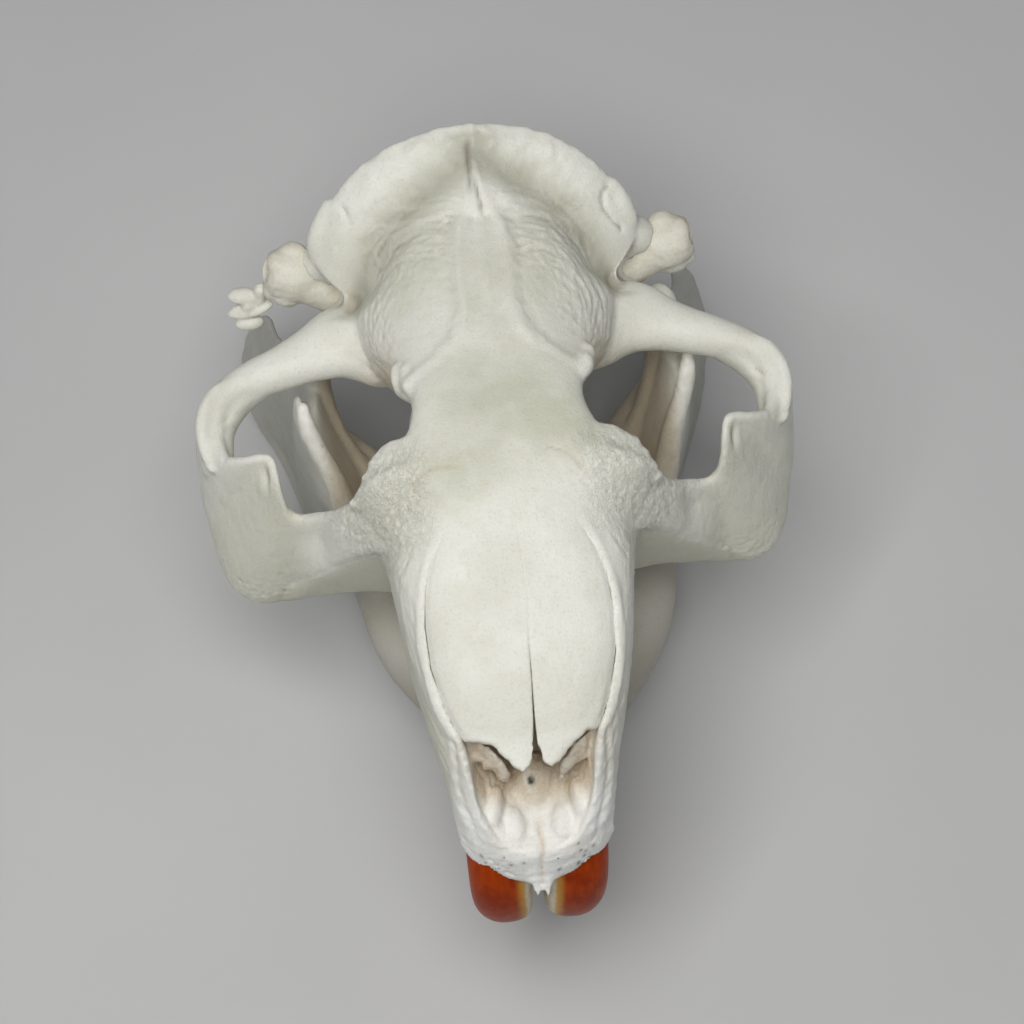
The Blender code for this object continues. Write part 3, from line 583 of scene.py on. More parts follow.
# Front edge of each nasal bone from its outer corner to the notch between them
NASAL_FRONT = {
    "left": [(9.2, 6.6), (8.6, 5.9), (6.9, 4.7), (4.6, 2.3), (2.9, 1.1), (1.6, 1.9), (1.05, 5.4)],
    "right": [(-9.4, 6.2), (-6.2, 5.3), (-3.5, 1.9), (-1.8, 0.6), (-0.4, 1.5), (0.4, 4.4)],
}
# Half of the rim of the nasal opening in plan, from the nasal bones to the front
NOSTRIL_RIM = [(9.9, 9.5), (10.2, 6.4), (9.8, -1.0), (8.2, -5.5), (6.4, -9.4), (6.4, -20.0)]
# The midline seam of the nasal bones, as (y, x, width); they are grown together behind it
NASAL_SEAM = [(4.6, 0.55, 0.7), (6.5, 0.7, 0.3), (9, 0.8, 0.14), (14, 0.95, 0.06), (20, 1.1, 0.02),
              (23, 1.3, -0.3), (28, 1.6, -0.6), (46, 0.6, -0.8)]


def nasal_floor(y):
    """Height of the underside of the nasal bones."""
    return 74.9 + 0.24 * y + 2.5 * ramp(10 - y, 0, 5)


def arch_forms():
    """Cheek arch of the left side: jaw root, deep cheek plate with its fold, and the bar behind."""
    return [
        ribbon([
            ((16, 48.8, 84.4), (15, 41, 60), 8.0, 8.0),
            ((22, 48.8, 81.8), (21.0, 45.4, 56), 6.4, 5.6),
            ((27, 49.3, 77.8), (27, 47.2, 50.5), 5.0, 4.2),
            ((32, 51.2, 71.4), (32, 47.4, 47.6), 4.0, 3.8),
            ((36, 52.6, 69.0), (38.5, 46.4, 45.6), 3.4, 3.8),
            ((37.6, 55.0, 73.0), (45.0, 45.8, 45.6), 3.0, 3.8),
            ((38.2, 58.0, 75.5), (49.6, 49.6, 47.4), 2.8, 3.8),
            ((38.8, 60.6, 76.2), (51.2, 56.0, 50.4), 2.8, 3.8),
            ((43.5, 61.8, 74.0), (51.8, 59.0, 51.8), 3.0, 3.8),
            ((47.0, 63.6, 71.0), (52.0, 62.5, 53.4), 3.4, 3.8),
            ((48.2, 67.0, 69.5), (52.0, 67.5, 55.8), 3.8, 4.0),
            ((48.0, 72.0, 69.5), (51.4, 72.5, 58.6), 4.0, 4.2),
            ((46.0, 76.5, 69.0), (49.6, 77.5, 61.0), 4.0, 4.0),
        ]),
        ribbon([
            ((20.5, 42.6, 75.4), (20.0, 43.6, 51.8), 3.4, 3.4),
            ((24.6, 43.7, 71.6), (23.8, 44.2, 51.6), 3.2, 3.2),
            ((28.0, 44.5, 67.0), (28.0, 44.8, 50.6), 3.0, 3.0),
            ((31.1, 45.2, 62.4), (31.6, 45.2, 49.2), 3.0, 3.0),
            ((34.6, 45.9, 57.2), (35.4, 45.8, 47.2), 2.8, 3.0),
            ((38.0, 46.7, 52.2), (39.2, 46.2, 45.0), 2.6, 3.0),
            ((41.0, 47.4, 49.4), (42.4, 46.8, 45.0), 2.4, 2.8),
        ]),
        ribbon([
            ((17.0, 49.2, 84.6), (18.6, 40.4, 79.2), 4.4, 4.4),
            ((21.6, 48.8, 82.4), (22.4, 42.0, 75.0), 4.2, 3.8),
            ((25.2, 48.9, 79.0), (25.2, 43.2, 70.9), 4.0, 3.6),
            ((28.4, 49.6, 75.0), (28.4, 44.0, 66.2), 3.6, 3.2),
            ((31.4, 51.6, 68.6), (31.3, 44.7, 61.6), 3.2, 3.0),
            ((34.8, 52.0, 67.2), (34.8, 45.6, 56.2), 3.0, 2.8),
            ((37.4, 54.0, 69.2), (38.2, 46.8, 51.2), 2.8, 2.6),
        ]),
        tube([
            (18, 86.0, 66.0, 9.5, 8.0),
            (23, 86.0, 66.0, 8.6, 6.0),
            (27, 85.2, 66.0, 6.8, 4.6),
            (31, 83.6, 66.2, 5.2, 3.8),
            (36, 81.6, 66.4, 4.2, 3.4),
            (41, 79.8, 66.2, 3.6, 3.5),
            (45.5, 77.6, 66.0, 3.2, 3.9),
            (48.8, 74.0, 65.6, 2.8, 4.3),
            (50.2, 69.0, 65.0, 2.4, 4.4),
            (50.0, 64.5, 64.6, 2.0, 4.0),
        ]),
        tube([
            (40.6, 77.6, 65.4, 1.2, 2.4), (44.4, 74.8, 65.2, 1.4, 2.8), (46.9, 71.0, 65.0, 1.4, 3.0),
            (47.5, 67.0, 64.6, 1.4, 3.0), (47.3, 63.4, 64.4, 1.2, 2.8),
        ]),
        tube([
            (44.5, 79.2, 68.6, 0.8, 0.8), (48.6, 76.4, 69.4, 1.2, 1.2), (50.8, 72.0, 69.4, 1.3, 1.2),
            (50.9, 67.0, 68.8, 1.2, 1.1), (50.0, 62.5, 68.0, 0.7, 0.8),
        ]),
    ]


def crest_forms():
    """Flange round the back of the head, narrower on the left, and the lumps at its ends."""
    rim = [(0, 116.0, 86.4), (8, 115.3, 85.8), (15.6, 113.3, 84.2), (22.4, 109.6, 81.0),
           (27.6, 105.2, 76.8), (30.2, 101.8, 72.4)]
    base = [(0, 98.0, 82.0), (5.5, 97.5, 81.0), (11, 96.0, 79.0), (16, 94.0, 75.5),
            (19.5, 92.0, 71.0), (21.5, 91.0, 67.0)]
    sides = [
        [((sign * wide * a[0], *a[1:]), (sign * b[0], *b[1:]), 2.6, 9.0) for a, b in zip(rim, base)]
        for sign, wide in ((-1, 1.0), (1, 0.94))
    ]
    return [
        ribbon(sides[0][:0:-1] + sides[1], bulge=0.2),
        tube([(24.2, 106.2, 78.0, 1.3, 1.3), (25.4, 103.6, 76.6, 1.9, 1.8), (26.6, 101.0, 73.8, 2.0, 1.9),
              (26.8, 99.6, 71.6, 1.5, 1.5)]),
        tube([(-25.8, 106.8, 77.8, 1.2, 1.3), (-27.5, 103.8, 76.0, 1.8, 1.7),
              (-28.6, 101.2, 73.2, 1.9, 1.8), (-28.6, 99.8, 71.2, 1.5, 1.5)]),
        *both(tube([(20, 100, 66, 6, 9), (25, 101, 66, 4.5, 7.5), (28.5, 100.5, 68, 3.4, 5.5)])),
    ]


def occiput_forms():
    """Knuckles of the neck joint, the spurs beside them and the ridges above."""
    return both(
        ball((7.8, 112.0, 53.0), (4.6, 4.8, 6.4), (20, 0, 15)),
        tube([
            (17.5, 107, 60, 5.5, 5.5), (18.5, 107.5, 52, 3.8, 4.4), (18.5, 107, 45, 2.4, 3.0),
            (18.0, 106.5, 41.5, 1.6, 2.0),
        ], side=(0, 1, 0)),
        tube([(0.8, 112.0, 82, 1.4, 1.6), (1.0, 111.8, 74, 1.2, 1.5), (1.2, 111.2, 66, 0.9, 1.2)],
             side=(0, 1, 0)),
    )


# Scalloped outer edge of each tear shelf, from the eye socket to the cheek plate
TEAR_EDGES = (
    [(20.0, 56.2, 85.3), (21.9, 54.9, 85.2), (23.2, 54.1, 85.0), (23.2, 53.0, 84.9), (24.8, 52.2, 84.6),
     (24.6, 51.2, 84.3), (26.0, 50.4, 83.4), (25.8, 49.6, 82.8), (26.8, 49.2, 81.2), (26.4, 48.2, 80.4)],
    [(-20.2, 56.6, 85.3), (-21.8, 55.0, 85.3), (-22.9, 53.8, 85.2), (-22.7, 52.4, 85.0),
     (-24.3, 51.8, 84.8), (-23.9, 50.6, 84.3), (-25.4, 50.2, 83.5), (-25.1, 49.4, 83.0),
     (-26.6, 49.0, 81.6), (-26.2, 48.0, 80.8)],
)


def brow_forms():
    """Rough knobs where the temple ridges begin, the ridges, and the scalloped tear shelves."""
    shelves = [ribbon([((math.copysign(14, x), y, 87.7), (x, y, z), 3.0, 2.4) for x, y, z in edge], 0.5)
               for edge in TEAR_EDGES]
    fingers = [
        tube([(*place, *halves) for place, halves in zip(path, ((0.9, 0.8), (1.1, 1.0), (0.9, 0.9)))])
        for path in ([(-16.6, 72.4, 82.6), (-16.7, 70.2, 82.2), (-16.4, 68.4, 81.0)],
                     [(-15.0, 71.4, 84.2), (-15.2, 68.8, 83.8), (-15.2, 66.9, 82.4)],
                     [(-13.4, 69.8, 85.6), (-13.8, 67.4, 85.2), (-14.0, 65.6, 83.8)])
    ]
    knobs = [ball((-14.8, 69.4, 81.4), (2.0, 3.0, 3.0)),
             ball((15.0, 69.3, 83.9), (1.9, 2.4, 2.5), (10, 25, 0)),
             ball((15.8, 71.6, 82.6), (1.6, 2.4, 2.4), (10, 25, 0))]
    ridge = tube([
        (14.8, 67.6, 84.9, 1.6, 1.3), (12.2, 69.0, 86.1, 1.6, 1.1), (9.1, 71.3, 87.0, 1.6, 1.0),
        (5.6, 75.2, 87.4, 1.6, 0.9), (4.4, 79.6, 87.1, 1.5, 0.9), (4.4, 86.0, 86.4, 1.5, 0.9),
        (4.2, 94.0, 85.3, 1.4, 1.0), (2.6, 100.8, 84.7, 1.0, 0.9), (1.2, 105.4, 84.5, 0.8, 0.8),
    ])
    return [*shelves, *fingers, *knobs, *both(ridge)]


def nose_forms():
    """Roof of the nose under the nasal bones."""
    rows = []
    for y, half in [(-1.0, 3.2), (3.4, 5.8), (6.4, 10.4), (10, 12.4), (16, 13.6)]:
        z = through([(6, 80.3), (25, 85.9), (46, 89.4)], [max(y, 6)])[0, 0]
        z -= 1.2 + max(0, 6 - y) * 0.32
        rows.append(((-half, y, z), (half, y, z), 2.4, 2.4))
    return [ribbon(rows, bulge=0.1)]


def lip_forms():
    """Lip of bone that laps over the gnawing teeth, and the two spurs between them."""
    half = [((12.2, -3.8, 63.0), (12.4, -6.2, 58.8), 2.0, 1.5),
            ((10.1, -6.6, 63.9), (10.1, -8.9, 58.2), 2.0, 1.5),
            ((6.8, -8.3, 64.6), (6.8, -10.8, 57.8), 2.0, 1.5),
            ((3.2, -9.2, 65.0), (3.2, -12.2, 57.5), 2.2, 1.6)]
    other = [((-a[0], *a[1:]), (-b[0], *b[1:]), ta, tb) for a, b, ta, tb in half]
    spurs = [
        tube([(base, -11.4, 60.2, 1.0, 1.2), (base, -13.6, 58.6, 0.7, 0.8), (tip, -16.2, 57.2, 0.25, 0.3)])
        for base, tip in ((-0.9, -0.55), (1.2, 0.95))
    ]
    return [ribbon(other + [((0, -9.4, 65.0), (0, -12.8, 58.2), 2.2, 1.8)] + half[::-1]), *spurs]


def skull_forms():
    """Everything that is one bone with the upper skull."""
    hooks = both(ribbon([
        ((5.0, 74, 56), (6.4, 74, 46), 4.0, 3.0),
        ((5.6, 82, 56), (7.4, 82, 43.5), 3.4, 2.4),
        ((6.4, 86.5, 54), (8.2, 87, 43), 3.2, 2.2),
    ]))
    return [
        lines_loft(SKULL_LINES, 1.0), lines_loft(PALATE_LINES, 1.5), *hooks,
        *both(*arch_forms()), *crest_forms(), *occiput_forms(), *brow_forms(), *nose_forms(),
        *lip_forms(),
    ]


def ragged(path, spacing, amount, seed):
    """A path in plan with more points and a fine broken edge."""
    path = np.array(path, float)
    length = np.r_[0, np.cumsum(np.linalg.norm(np.diff(path, axis=0), axis=1))]
    at = np.linspace(0, length[-1], int(length[-1] / spacing))
    spots = np.c_[np.interp(at, length, path[:, 0]), np.interp(at, length, path[:, 1])]
    flat = np.c_[spots, np.zeros(len(spots))]
    for axis in (0, 1):
        spots[1:-1, axis] += amount * grain(flat, spacing * 2.2, seed + axis)[1:-1]
    return [tuple(spot) for spot in spots]


def nasal_plan(side):
    """Plan outline of one nasal bone, up to the hairline seam between the two."""
    sign = SIDES[side]
    edge = [(sign * half, y) for half, y in NASAL_EDGE]
    seam = [(x + sign * wide / 2, y) for y, x, wide in NASAL_SEAM]
    return edge[1:] + ragged(NASAL_FRONT[side], 0.35, 0.3, 3) + seam


def nasal_pocket():
    """Room for both nasal bones in the roof of the snout, and the mouth in front of them."""
    plan = NASAL_BED + [(-h, y) for h, y in NASAL_BED[::-1]]
    rims = []
    for z, wider in ((69.5, -1.5), (71.5, -0.9), (74.0, 0.1), (79.0, 1.7), (84.0, 3.0), (96.0, 3.4)):
        side = [(half + wider, y) for half, y in NOSTRIL_RIM]
        rims.append([(x, y, z) for x, y in side + [(-x, y) for x, y in side[::-1]]])
    return [prism(plan, lambda y: nasal_floor(y) - 0.3, ABOVE_ALL), skin(rims)]


def nose_linings():
    """Bulges, curled sheets and the ramp that line the nasal cavity."""
    left = [((-10.6, 8.6, 77.2), (-9.7, 4.6, 71.0), 1.0, 1.6),
            ((-9.0, 8.0, 76.8), (-8.8, 5.8, 71.8), 0.8, 1.0),
            ((-8.2, 6.8, 76.6), (-7.4, 3.4, 70.2), 1.1, 1.6),
            ((-6.8, 6.4, 75.6), (-6.7, 4.4, 71.0), 0.8, 0.9),
            ((-6.0, 5.0, 75.2), (-5.2, 1.8, 69.4), 1.0, 1.6),
            ((-4.9, 4.4, 74.2), (-4.6, 2.4, 70.4), 0.8, 0.9),
            ((-4.3, 3.0, 73.4), (-3.8, 1.4, 68.4), 0.9, 1.5)]
    right = [((11.2, 8.4, 77.2), (10.2, 4.8, 71.0), 1.0, 1.6),
             ((9.9, 7.6, 76.8), (9.3, 5.6, 72.0), 0.8, 0.9),
             ((8.8, 6.2, 76.6), (7.9, 3.0, 70.4), 1.1, 1.6),
             ((7.6, 5.8, 76.0), (7.2, 4.0, 71.4), 0.8, 0.9),
             ((6.6, 4.2, 75.4), (5.9, 1.8, 69.8), 1.0, 1.5),
             ((5.6, 3.8, 74.6), (5.2, 2.4, 70.6), 0.8, 0.9),
             ((4.8, 2.4, 73.6), (4.3, 0.8, 68.6), 0.9, 1.4)]
    return [
        ribbon(left), ribbon(right),
        ball((-3.6, -4.8, 64.8), (1.9, 3.7, 2.1), (3, 0, 4)),
        ball((4.3, -4.8, 64.9), (2.1, 3.6, 2.1), (3, 0, -6)),
        ball((-7.2, -2.6, 66.4), (1.7, 5.0, 2.4), (14, 0, -16)),
        ball((8.0, -2.8, 66.6), (1.8, 5.0, 2.4), (14, 0, 16)),
        ball((0.0, 3.0, 63.4), (4.2, 5.4, 3.8), (12, 0, 0)),
    ]


# The gnawing teeth are bent tubes round a centre in (y, z)
UPPER_INCISOR = {"centre": (12.4, 43.5), "reach": 27.6, "thick": 8.6, "angles": (42, -40),
                 "across": [(0, 6.8, 5.3), (0.3, 6.6, 5.3), (1, 5.7, 4.6)], "edge": -34, "wear": -145,
                 "outer": 1, "round": 1.9}
LOWER_INCISOR = {"centre": (28.8, 46.0), "reach": 33.0, "thick": 7.6, "angles": (-80, -9),
                 "across": [(0, 6.0, 4.0), (0.3, 5.4, 4.1), (1, 4.7, 4.1)], "edge": -12, "wear": 35,
                 "outer": -1, "round": 2.3}


def incisor(tooth, swell=0.0):
    """Left gnawing tooth as a bent tube, before its tip is worn."""
    middle = tooth["reach"] - tooth["thick"] / 2
    start, end = tooth["angles"]
    rows = []
    for share in np.linspace(0, 1, 18):
        a = math.radians(start + (end - start) * share)
        x, half = through(tooth["across"], [share])[0]
        rows.append((x, tooth["centre"][0] - middle * math.cos(a),
                     tooth["centre"][1] + middle * math.sin(a), half + swell,
                     tooth["thick"] / 2 + swell))
    c, s = superellipse(2.9, 2.9)
    round_c, round_s = superellipse(tooth["round"], tooth["round"])
    outer_front = (c * tooth["outer"] > 0) & (s < 0)
    section = np.where(outer_front, round_c, c), np.where(outer_front, round_s, s)
    return tube(rows, section=section, side=(0, 1, 0), bulge=0.05)


def worn_away(tooth):
    """Block that grinds a gnawing tooth's tip to a chisel on its inner side."""
    a, w = math.radians(tooth["edge"]), math.radians(tooth["wear"])
    tip = np.array([0, tooth["centre"][0] - tooth["reach"] * math.cos(a),
                    tooth["centre"][1] + tooth["reach"] * math.sin(a)])
    out = np.array([0, math.sin(w), math.cos(w)])
    across, along_cut = np.array([30.0, 0, 0]), np.cross([1.0, 0, 0], out) * 30
    plan = [tip + across * i + along_cut * j for i, j in ((-1, -1), (1, -1), (1, 1), (-1, 1))]
    return skin([plan, [p + out * 30 for p in plan]])


def ear_forms(swell=0.0):
    """Hollow ear bulb under the left of the skull and the knobby tube that leads out of it."""
    path = [
        (18, 94.0, 53.0, 6.0, 6.0), (22, 95.8, 57.0, 4.8, 4.8), (26, 98.0, 60.4, 4.2, 4.2),
        (30.5, 99.4, 63.2, 4.3, 4.3), (34, 100.2, 65.2, 5.0, 5.0), (36.6, 100.2, 66.0, 4.2, 4.4),
    ]
    forms = [
        ball((14.5, 92.5, 49.5), np.array((8.3, 10.8, 8.3)) + swell, (0, 0, -18)),
        tube([(*p[:3], p[3] + swell, p[4] + swell) for p in path], bulge=0.25),
    ]
    if swell:
        return forms
    return forms + [
        ball((33.0, 102.6, 68.0), (2.7, 2.2, 2.4), (0, 0, 20)),
        ball((36.0, 100.6, 68.6), (2.2, 2.4, 1.8), (0, 20, 0)),
        ball((34.8, 97.2, 62.8), (2.7, 2.2, 2.6)),
        ball((37.4, 98.6, 63.4), (1.6, 2.2, 2.2), (0, 0, 20)),
    ]


def chip_forms():
    """Small scrap of bone in three stacked lobes that clings to the rim of the right ear tube."""
    return [
        ball((-42.7, 98.9, 60.3), (3.0, 1.7, 1.3), (8, 6, -4)),
        ball((-41.8, 97.3, 58.2), (4.3, 1.7, 1.1), (6, -10, 6)),
        ball((-42.3, 95.7, 55.9), (2.7, 1.5, 1.4), (0, 8, 8)),
        ball((-42.1, 97.2, 58.0), (1.5, 1.1, 2.4)),
        tube([(-40.4, 98.2, 59.2, 1.3, 1.2), (-39.6, 99.2, 61.8, 1.2, 1.2)]),
    ]


# The body of the left half of the lower jaw, as lines along Y
JAW_LINES = {
    "middle": [(9, 5.0), (16, 5.7), (24, 6.9), (32, 8.9), (38, 11.2), (46, 13.8), (56, 16.4),
               (66, 19.4), (76, 23.4), (85, 29.0), (92, 34.0)],
    "half": [(9, 3.8), (16, 5.0), (24, 6.3), (32, 7.8), (38, 8.8), (46, 8.8), (56, 8.2),
             (66, 7.4), (76, 5.8), (85, 3.2), (92, 1.6)],
    "level": [(9, 20.0), (16, 18.5), (24, 17.0), (38, 18.0), (56, 21.0), (76, 22.0), (92, 24.0)],
    "top": [(9, 27.0), (16, 28.0), (24, 28.6), (32, 30.5), (38, 32.8), (46, 34.8), (66, 35.6),
            (76, 35.2), (85, 32.0), (92, 29.0)],
    "bottom": [(9, 14.5), (16, 10.5), (24, 6.6), (32, 3.2), (38, 1.8), (46, 3.6), (56, 5.4),
               (66, 6.4), (76, 8.4), (85, 12.0), (92, 18.0)],
    "up": [(9, 2.2), (38, 2.6), (92, 2.4)],
    "down": [(9, 2.2), (38, 2.2), (92, 2.0)],
}


def jaw_forms():
    """Left half of the lower jaw: body, muscle ridge, tall plate, knuckle and its ridges."""
    return [
        lines_loft(JAW_LINES, 1.5),
        ball((8.2, 35.0, 2.6), (5.2, 6.4, 3.6)),
        tube([
            (13.4, 27.0, 22.4, 3.6, 4.2), (15.4, 31.0, 25.4, 5.2, 4.6), (18.2, 35.4, 27.6, 6.0, 4.2),
            (20.6, 40.5, 29.0, 6.6, 3.8), (22.4, 46.5, 29.4, 6.6, 3.6), (25.0, 54.0, 27.0, 5.2, 4.0),
            (27.4, 64.0, 21.0, 3.8, 4.4), (33.4, 76.0, 13.6, 2.4, 4.0), (39.2, 88.0, 8.0, 1.6, 3.4),
        ]),
        ribbon([
            ((25.5, 52, 33), (24.5, 52, 16), 5.0, 4.6),
            ((28.2, 58, 38), (26.0, 58, 13), 4.0, 3.8),
            ((29.8, 63, 43), (27.6, 62, 11), 3.6, 3.4),
            ((31.4, 69, 51), (30.0, 68, 7.5), 3.4, 3.0),
            ((33.8, 74, 58), (33.2, 73, 5), 3.2, 2.8),
            ((34.8, 77.2, 60.4), (35.6, 77.5, 3.4), 2.6, 2.6),
            ((35.2, 80.4, 59.5), (37.2, 81, 2.6), 2.8, 2.6),
            ((33.6, 84.0, 50.5), (38.8, 85, 2.4), 2.8, 2.6),
            ((32.4, 88.0, 50.0), (40.6, 89, 2.4), 2.8, 2.4),
            ((32.2, 92.0, 53.5), (42.4, 93, 3.0), 2.6, 2.4),
            ((34.0, 95.6, 48.0), (43.6, 97, 3.8), 2.4, 2.3),
            ((36.6, 100.0, 41.0), (45.0, 101.5, 5.2), 2.2, 2.2),
            ((38.2, 105.0, 36.0), (45.6, 106.5, 8.0), 2.1, 2.1),
            ((38.8, 109.6, 32.0), (45.4, 110.6, 12.0), 2.0, 2.0),
            ((39.6, 112.4, 28.0), (44.4, 113.2, 16.5), 1.9, 1.9),
        ]),
        tube([
            (21.5, 53, 8.6, 2.6, 3.0), (25.6, 61, 7.4, 3.0, 3.4), (29.6, 70, 4.4, 2.8, 3.2),
            (33.8, 78, 2.0, 3.0, 2.8), (37.4, 86, 1.5, 3.0, 2.4), (40.8, 93, 1.7, 2.8, 2.2),
            (44.0, 101, 4.6, 1.7, 2.0), (45.4, 107, 8.8, 1.3, 1.6), (44.6, 111.4, 14.0, 1.2, 1.3),
        ]),
        ball((31.8, 90.6, 55.8), (3.5, 4.0, 3.1), (12, 0, 0)),
        tube([
            (31.6, 90.6, 53.0, 2.6, 2.6), (30.8, 84.0, 45.0, 2.2, 2.4), (27.2, 76.0, 36.0, 2.8, 3.0),
            (21.0, 70.0, 30.0, 4.0, 4.0),
        ]),
        ribbon([
            ((27.0, 57.0, 32), (21.5, 69.0, 27), 5.0, 4.4),
            ((28.6, 61.0, 38), (25.4, 73.5, 33), 3.8, 3.2),
            ((29.6, 64.6, 43.6), (28.2, 77.5, 38.5), 3.0, 2.8),
            ((31.0, 68.4, 48.6), (30.0, 80.5, 42.6), 2.4, 2.4),
            ((32.4, 71.6, 52.6), (31.2, 83.0, 46.0), 2.0, 2.0),
            ((34.0, 74.6, 56.0), (32.2, 86.0, 50.0), 1.8, 1.8),
        ], bulge=0.15),
        tube([
            (27.2, 58.5, 36.0, 2.6, 3.0), (29.4, 64.0, 43.0, 2.4, 2.6), (31.2, 69.0, 50.0, 1.9, 2.0),
            (33.2, 72.6, 55.2, 1.7, 1.9), (34.4, 75.6, 59.0, 1.6, 1.8), (34.6, 77.6, 61.2, 1.2, 1.2),
        ]),
        ball((29.6, 80.0, 26.0), (4.4, 8.0, 5.4), (-28, 0, -18)),
    ]


def tucked(points):
    """How far in the rim of the right jaw angle lies, narrower than the left one."""
    x, y, z = points.T
    inward = 2.6 * np.exp(-((y - 92) / 8) ** 2) * ramp(30 - z, 0, 20) * ramp(x, 24, 32)
    return np.c_[inward, np.zeros((len(points), 2))]


# Rows of cheek teeth: their ends in plan, heights, and each tooth's (length along the row, breadth)
UPPER_TEETH = {"front": (10.2, 43.5), "back": (12.8, 75), "root": 49, "crown": BITE_Z,
               "sizes": [(8.8, 8.4), (7.6, 8.0), (7.2, 7.6), (6.8, 6.8)]}
LOWER_TEETH = {"front": (10.6, 44), "back": (15.2, 76), "root": 27, "crown": BITE_Z - BITE_GAP,
               "sizes": [(9.6, 7.2), (8.2, 7.6), (7.6, 7.4), (6.6, 6.6)]}
# Where the enamel folds in round a cheek tooth, in degrees, and how deep each fold runs
TOOTH_FOLDS = [(25, 0.30), (95, 0.24), (160, 0.34), (268, 0.42)]
FOLD_WIDTH = 0.13


def tooth_row(front, back, root, crown, sizes):
    """Four folded cheek teeth standing in a row that spreads towards the back."""
    (x0, y0), (x1, y1) = front, back
    run, total = math.hypot(x1 - x0, y1 - y0), sum(length for length, _ in sizes)
    angle = np.linspace(0, 2 * math.pi, TOOTH_COUNT, endpoint=False)
    reach = np.ones(TOOTH_COUNT)
    for degrees, depth in TOOTH_FOLDS:
        away = np.angle(np.exp(1j * (angle - math.radians(degrees))))
        reach -= depth * np.exp(-(away / FOLD_WIDTH) ** 2)
    c, s = superellipse(3.4, 3.4, TOOTH_COUNT)
    rise = math.copysign(1, crown - root)
    levels = ((root, 1.0), (crown - 0.5 * rise, 1.0), (crown - 0.12 * rise, 0.97), (crown, 0.9))
    teeth, place = [], 0.0
    for length, breadth in sizes:
        share = (place + length / 2) / total
        place += length
        x, y = x0 + (x1 - x0) * share, y0 + (y1 - y0) * share
        half = length * run / total / 2 - TOOTH_SPACE
        outline = np.c_[x + c * reach * breadth / 2, y + s * reach * half]
        middle = outline.mean(0)
        teeth.append(skin([np.c_[middle + (outline - middle) * size, np.full(TOOTH_COUNT, z)]
                           for z, size in levels]))
    return teeth


# Relief of the upper skull

# Where each temple ridge runs over the top, as (y, distance from the midline)
TEMPLE_RIDGE = {
    1: [(66, 16.4), (67.8, 14.9), (69, 12), (71.1, 9.1), (75.7, 5.5), (79.5, 4.3), (85.1, 4.1),
        (93.9, 4.4), (99, 2.8), (103.3, 1.4), (109, 0.7), (114, 0.6)],
    -1: [(66, 15.6), (68.2, 13.2), (70, 10.6), (72.4, 7.6), (74.8, 5.6), (79.7, 4.4), (87.3, 4.8),
         (95, 3.9), (101.5, 2.1), (108.9, 1.2), (114, 0.9)],
}
# Middle of the fan of muscle lines on each temple
TEMPLE_FAN = {1: (6.3, 80.6, 84.0), -1: (-10.6, 81.5, 84.0)}

# Bottom of the valley between each temple and the flange
VALLEY = [(0.2, 114.6, 86), (0.9, 110.6, 86), (4.0, 107.6, 85), (10, 104.4, 83), (17, 99, 80),
          (22, 91.8, 77), (23.6, 86, 75)]

# Creases that are laid on from straight above: path, width and height
CREASES = [
    ([(-0.7, 114.4), (-0.9, 109.5), (-1.0, 105.0), (-1.0, 100.6)], 0.55, -0.5),
    ([(-0.3, 105.8), (0.2, 101.8), (0.8, 97.6)], 0.4, -0.5),
    ([(0.9, -2.4), (0.3, -5.6), (0.7, -8.6), (0.2, -11.4), (0.3, -14.6)], 0.34, -0.45),
]

# Seams and creases: path, width, height, and whether both sides have them
SEAMS = [
    ([(6, 52.5, 89.8), (9.3, 51.9, 89.8), (11.6, 50.1, 89.6), (13.8, 47, 89.2), (15.3, 45.3, 88.8),
      (17.6, 41.6, 87.4)], 0.26, -0.22, False),
    ([(-6.6, 50.6, 89.8), (-12.4, 50.3, 89.6), (-17.8, 45.9, 88.5)], 0.3, -0.14, False),
    ([(24.2, 106.2, 79.6), (23.0, 104.4, 79.9), (22.4, 101.8, 79.2), (24.4, 99.4, 76.6),
      (26.2, 98.0, 73.6)], 0.5, -0.55, True),
    ([(25.6, 103.0, 77.0), (27.6, 102.6, 74.6)], 0.7, -0.5, True),
    ([(43.4, 75.6, 64.6), (44.3, 74.5, 65.6), (46.9, 71.8, 68.3), (48.9, 69.7, 69.5)], 0.32, -0.24,
     True),
    ([(47.0, 62.4, 71.6), (49.8, 63.4, 69.4), (52.4, 65.4, 66.0)], 0.35, -0.25, True),
    ([(14.4, 41, 88.2), (17.8, 36.5, 84.5), (19.6, 31, 77), (19.5, 26, 69), (18.6, 22, 61),
      (15, 19.6, 54)], 0.3, -0.2, True),
    ([(12.6, 70.4, 84.4), (18.6, 76.6, 79.4), (22.0, 84.4, 77.4), (22.6, 92.4, 77.8),
      (19.6, 98.4, 79.6)], 0.34, -0.16, True),
    ([(17.6, 71.6, 82), (18.6, 75.4, 77), (19.2, 77.4, 70)], 1.1, -0.3, True),
    ([(20.4, 72.8, 80), (20.8, 76.6, 75), (21.6, 78.6, 68)], 1.0, -0.25, True),
    ([(23.2, 76.4, 79), (23.6, 78.6, 74), (24.6, 80.6, 69)], 1.0, -0.2, True),
    ([(22.2, 78.0, 80), (22.9, 84.0, 81), (22.9, 92.0, 80)], 1.0, -0.35, True),
    ([(21.0, 96.4, 80), (22.6, 90.0, 79.6), (24.4, 84.0, 78), (25.4, 79.6, 75)], 0.9, 0.45, True),
]


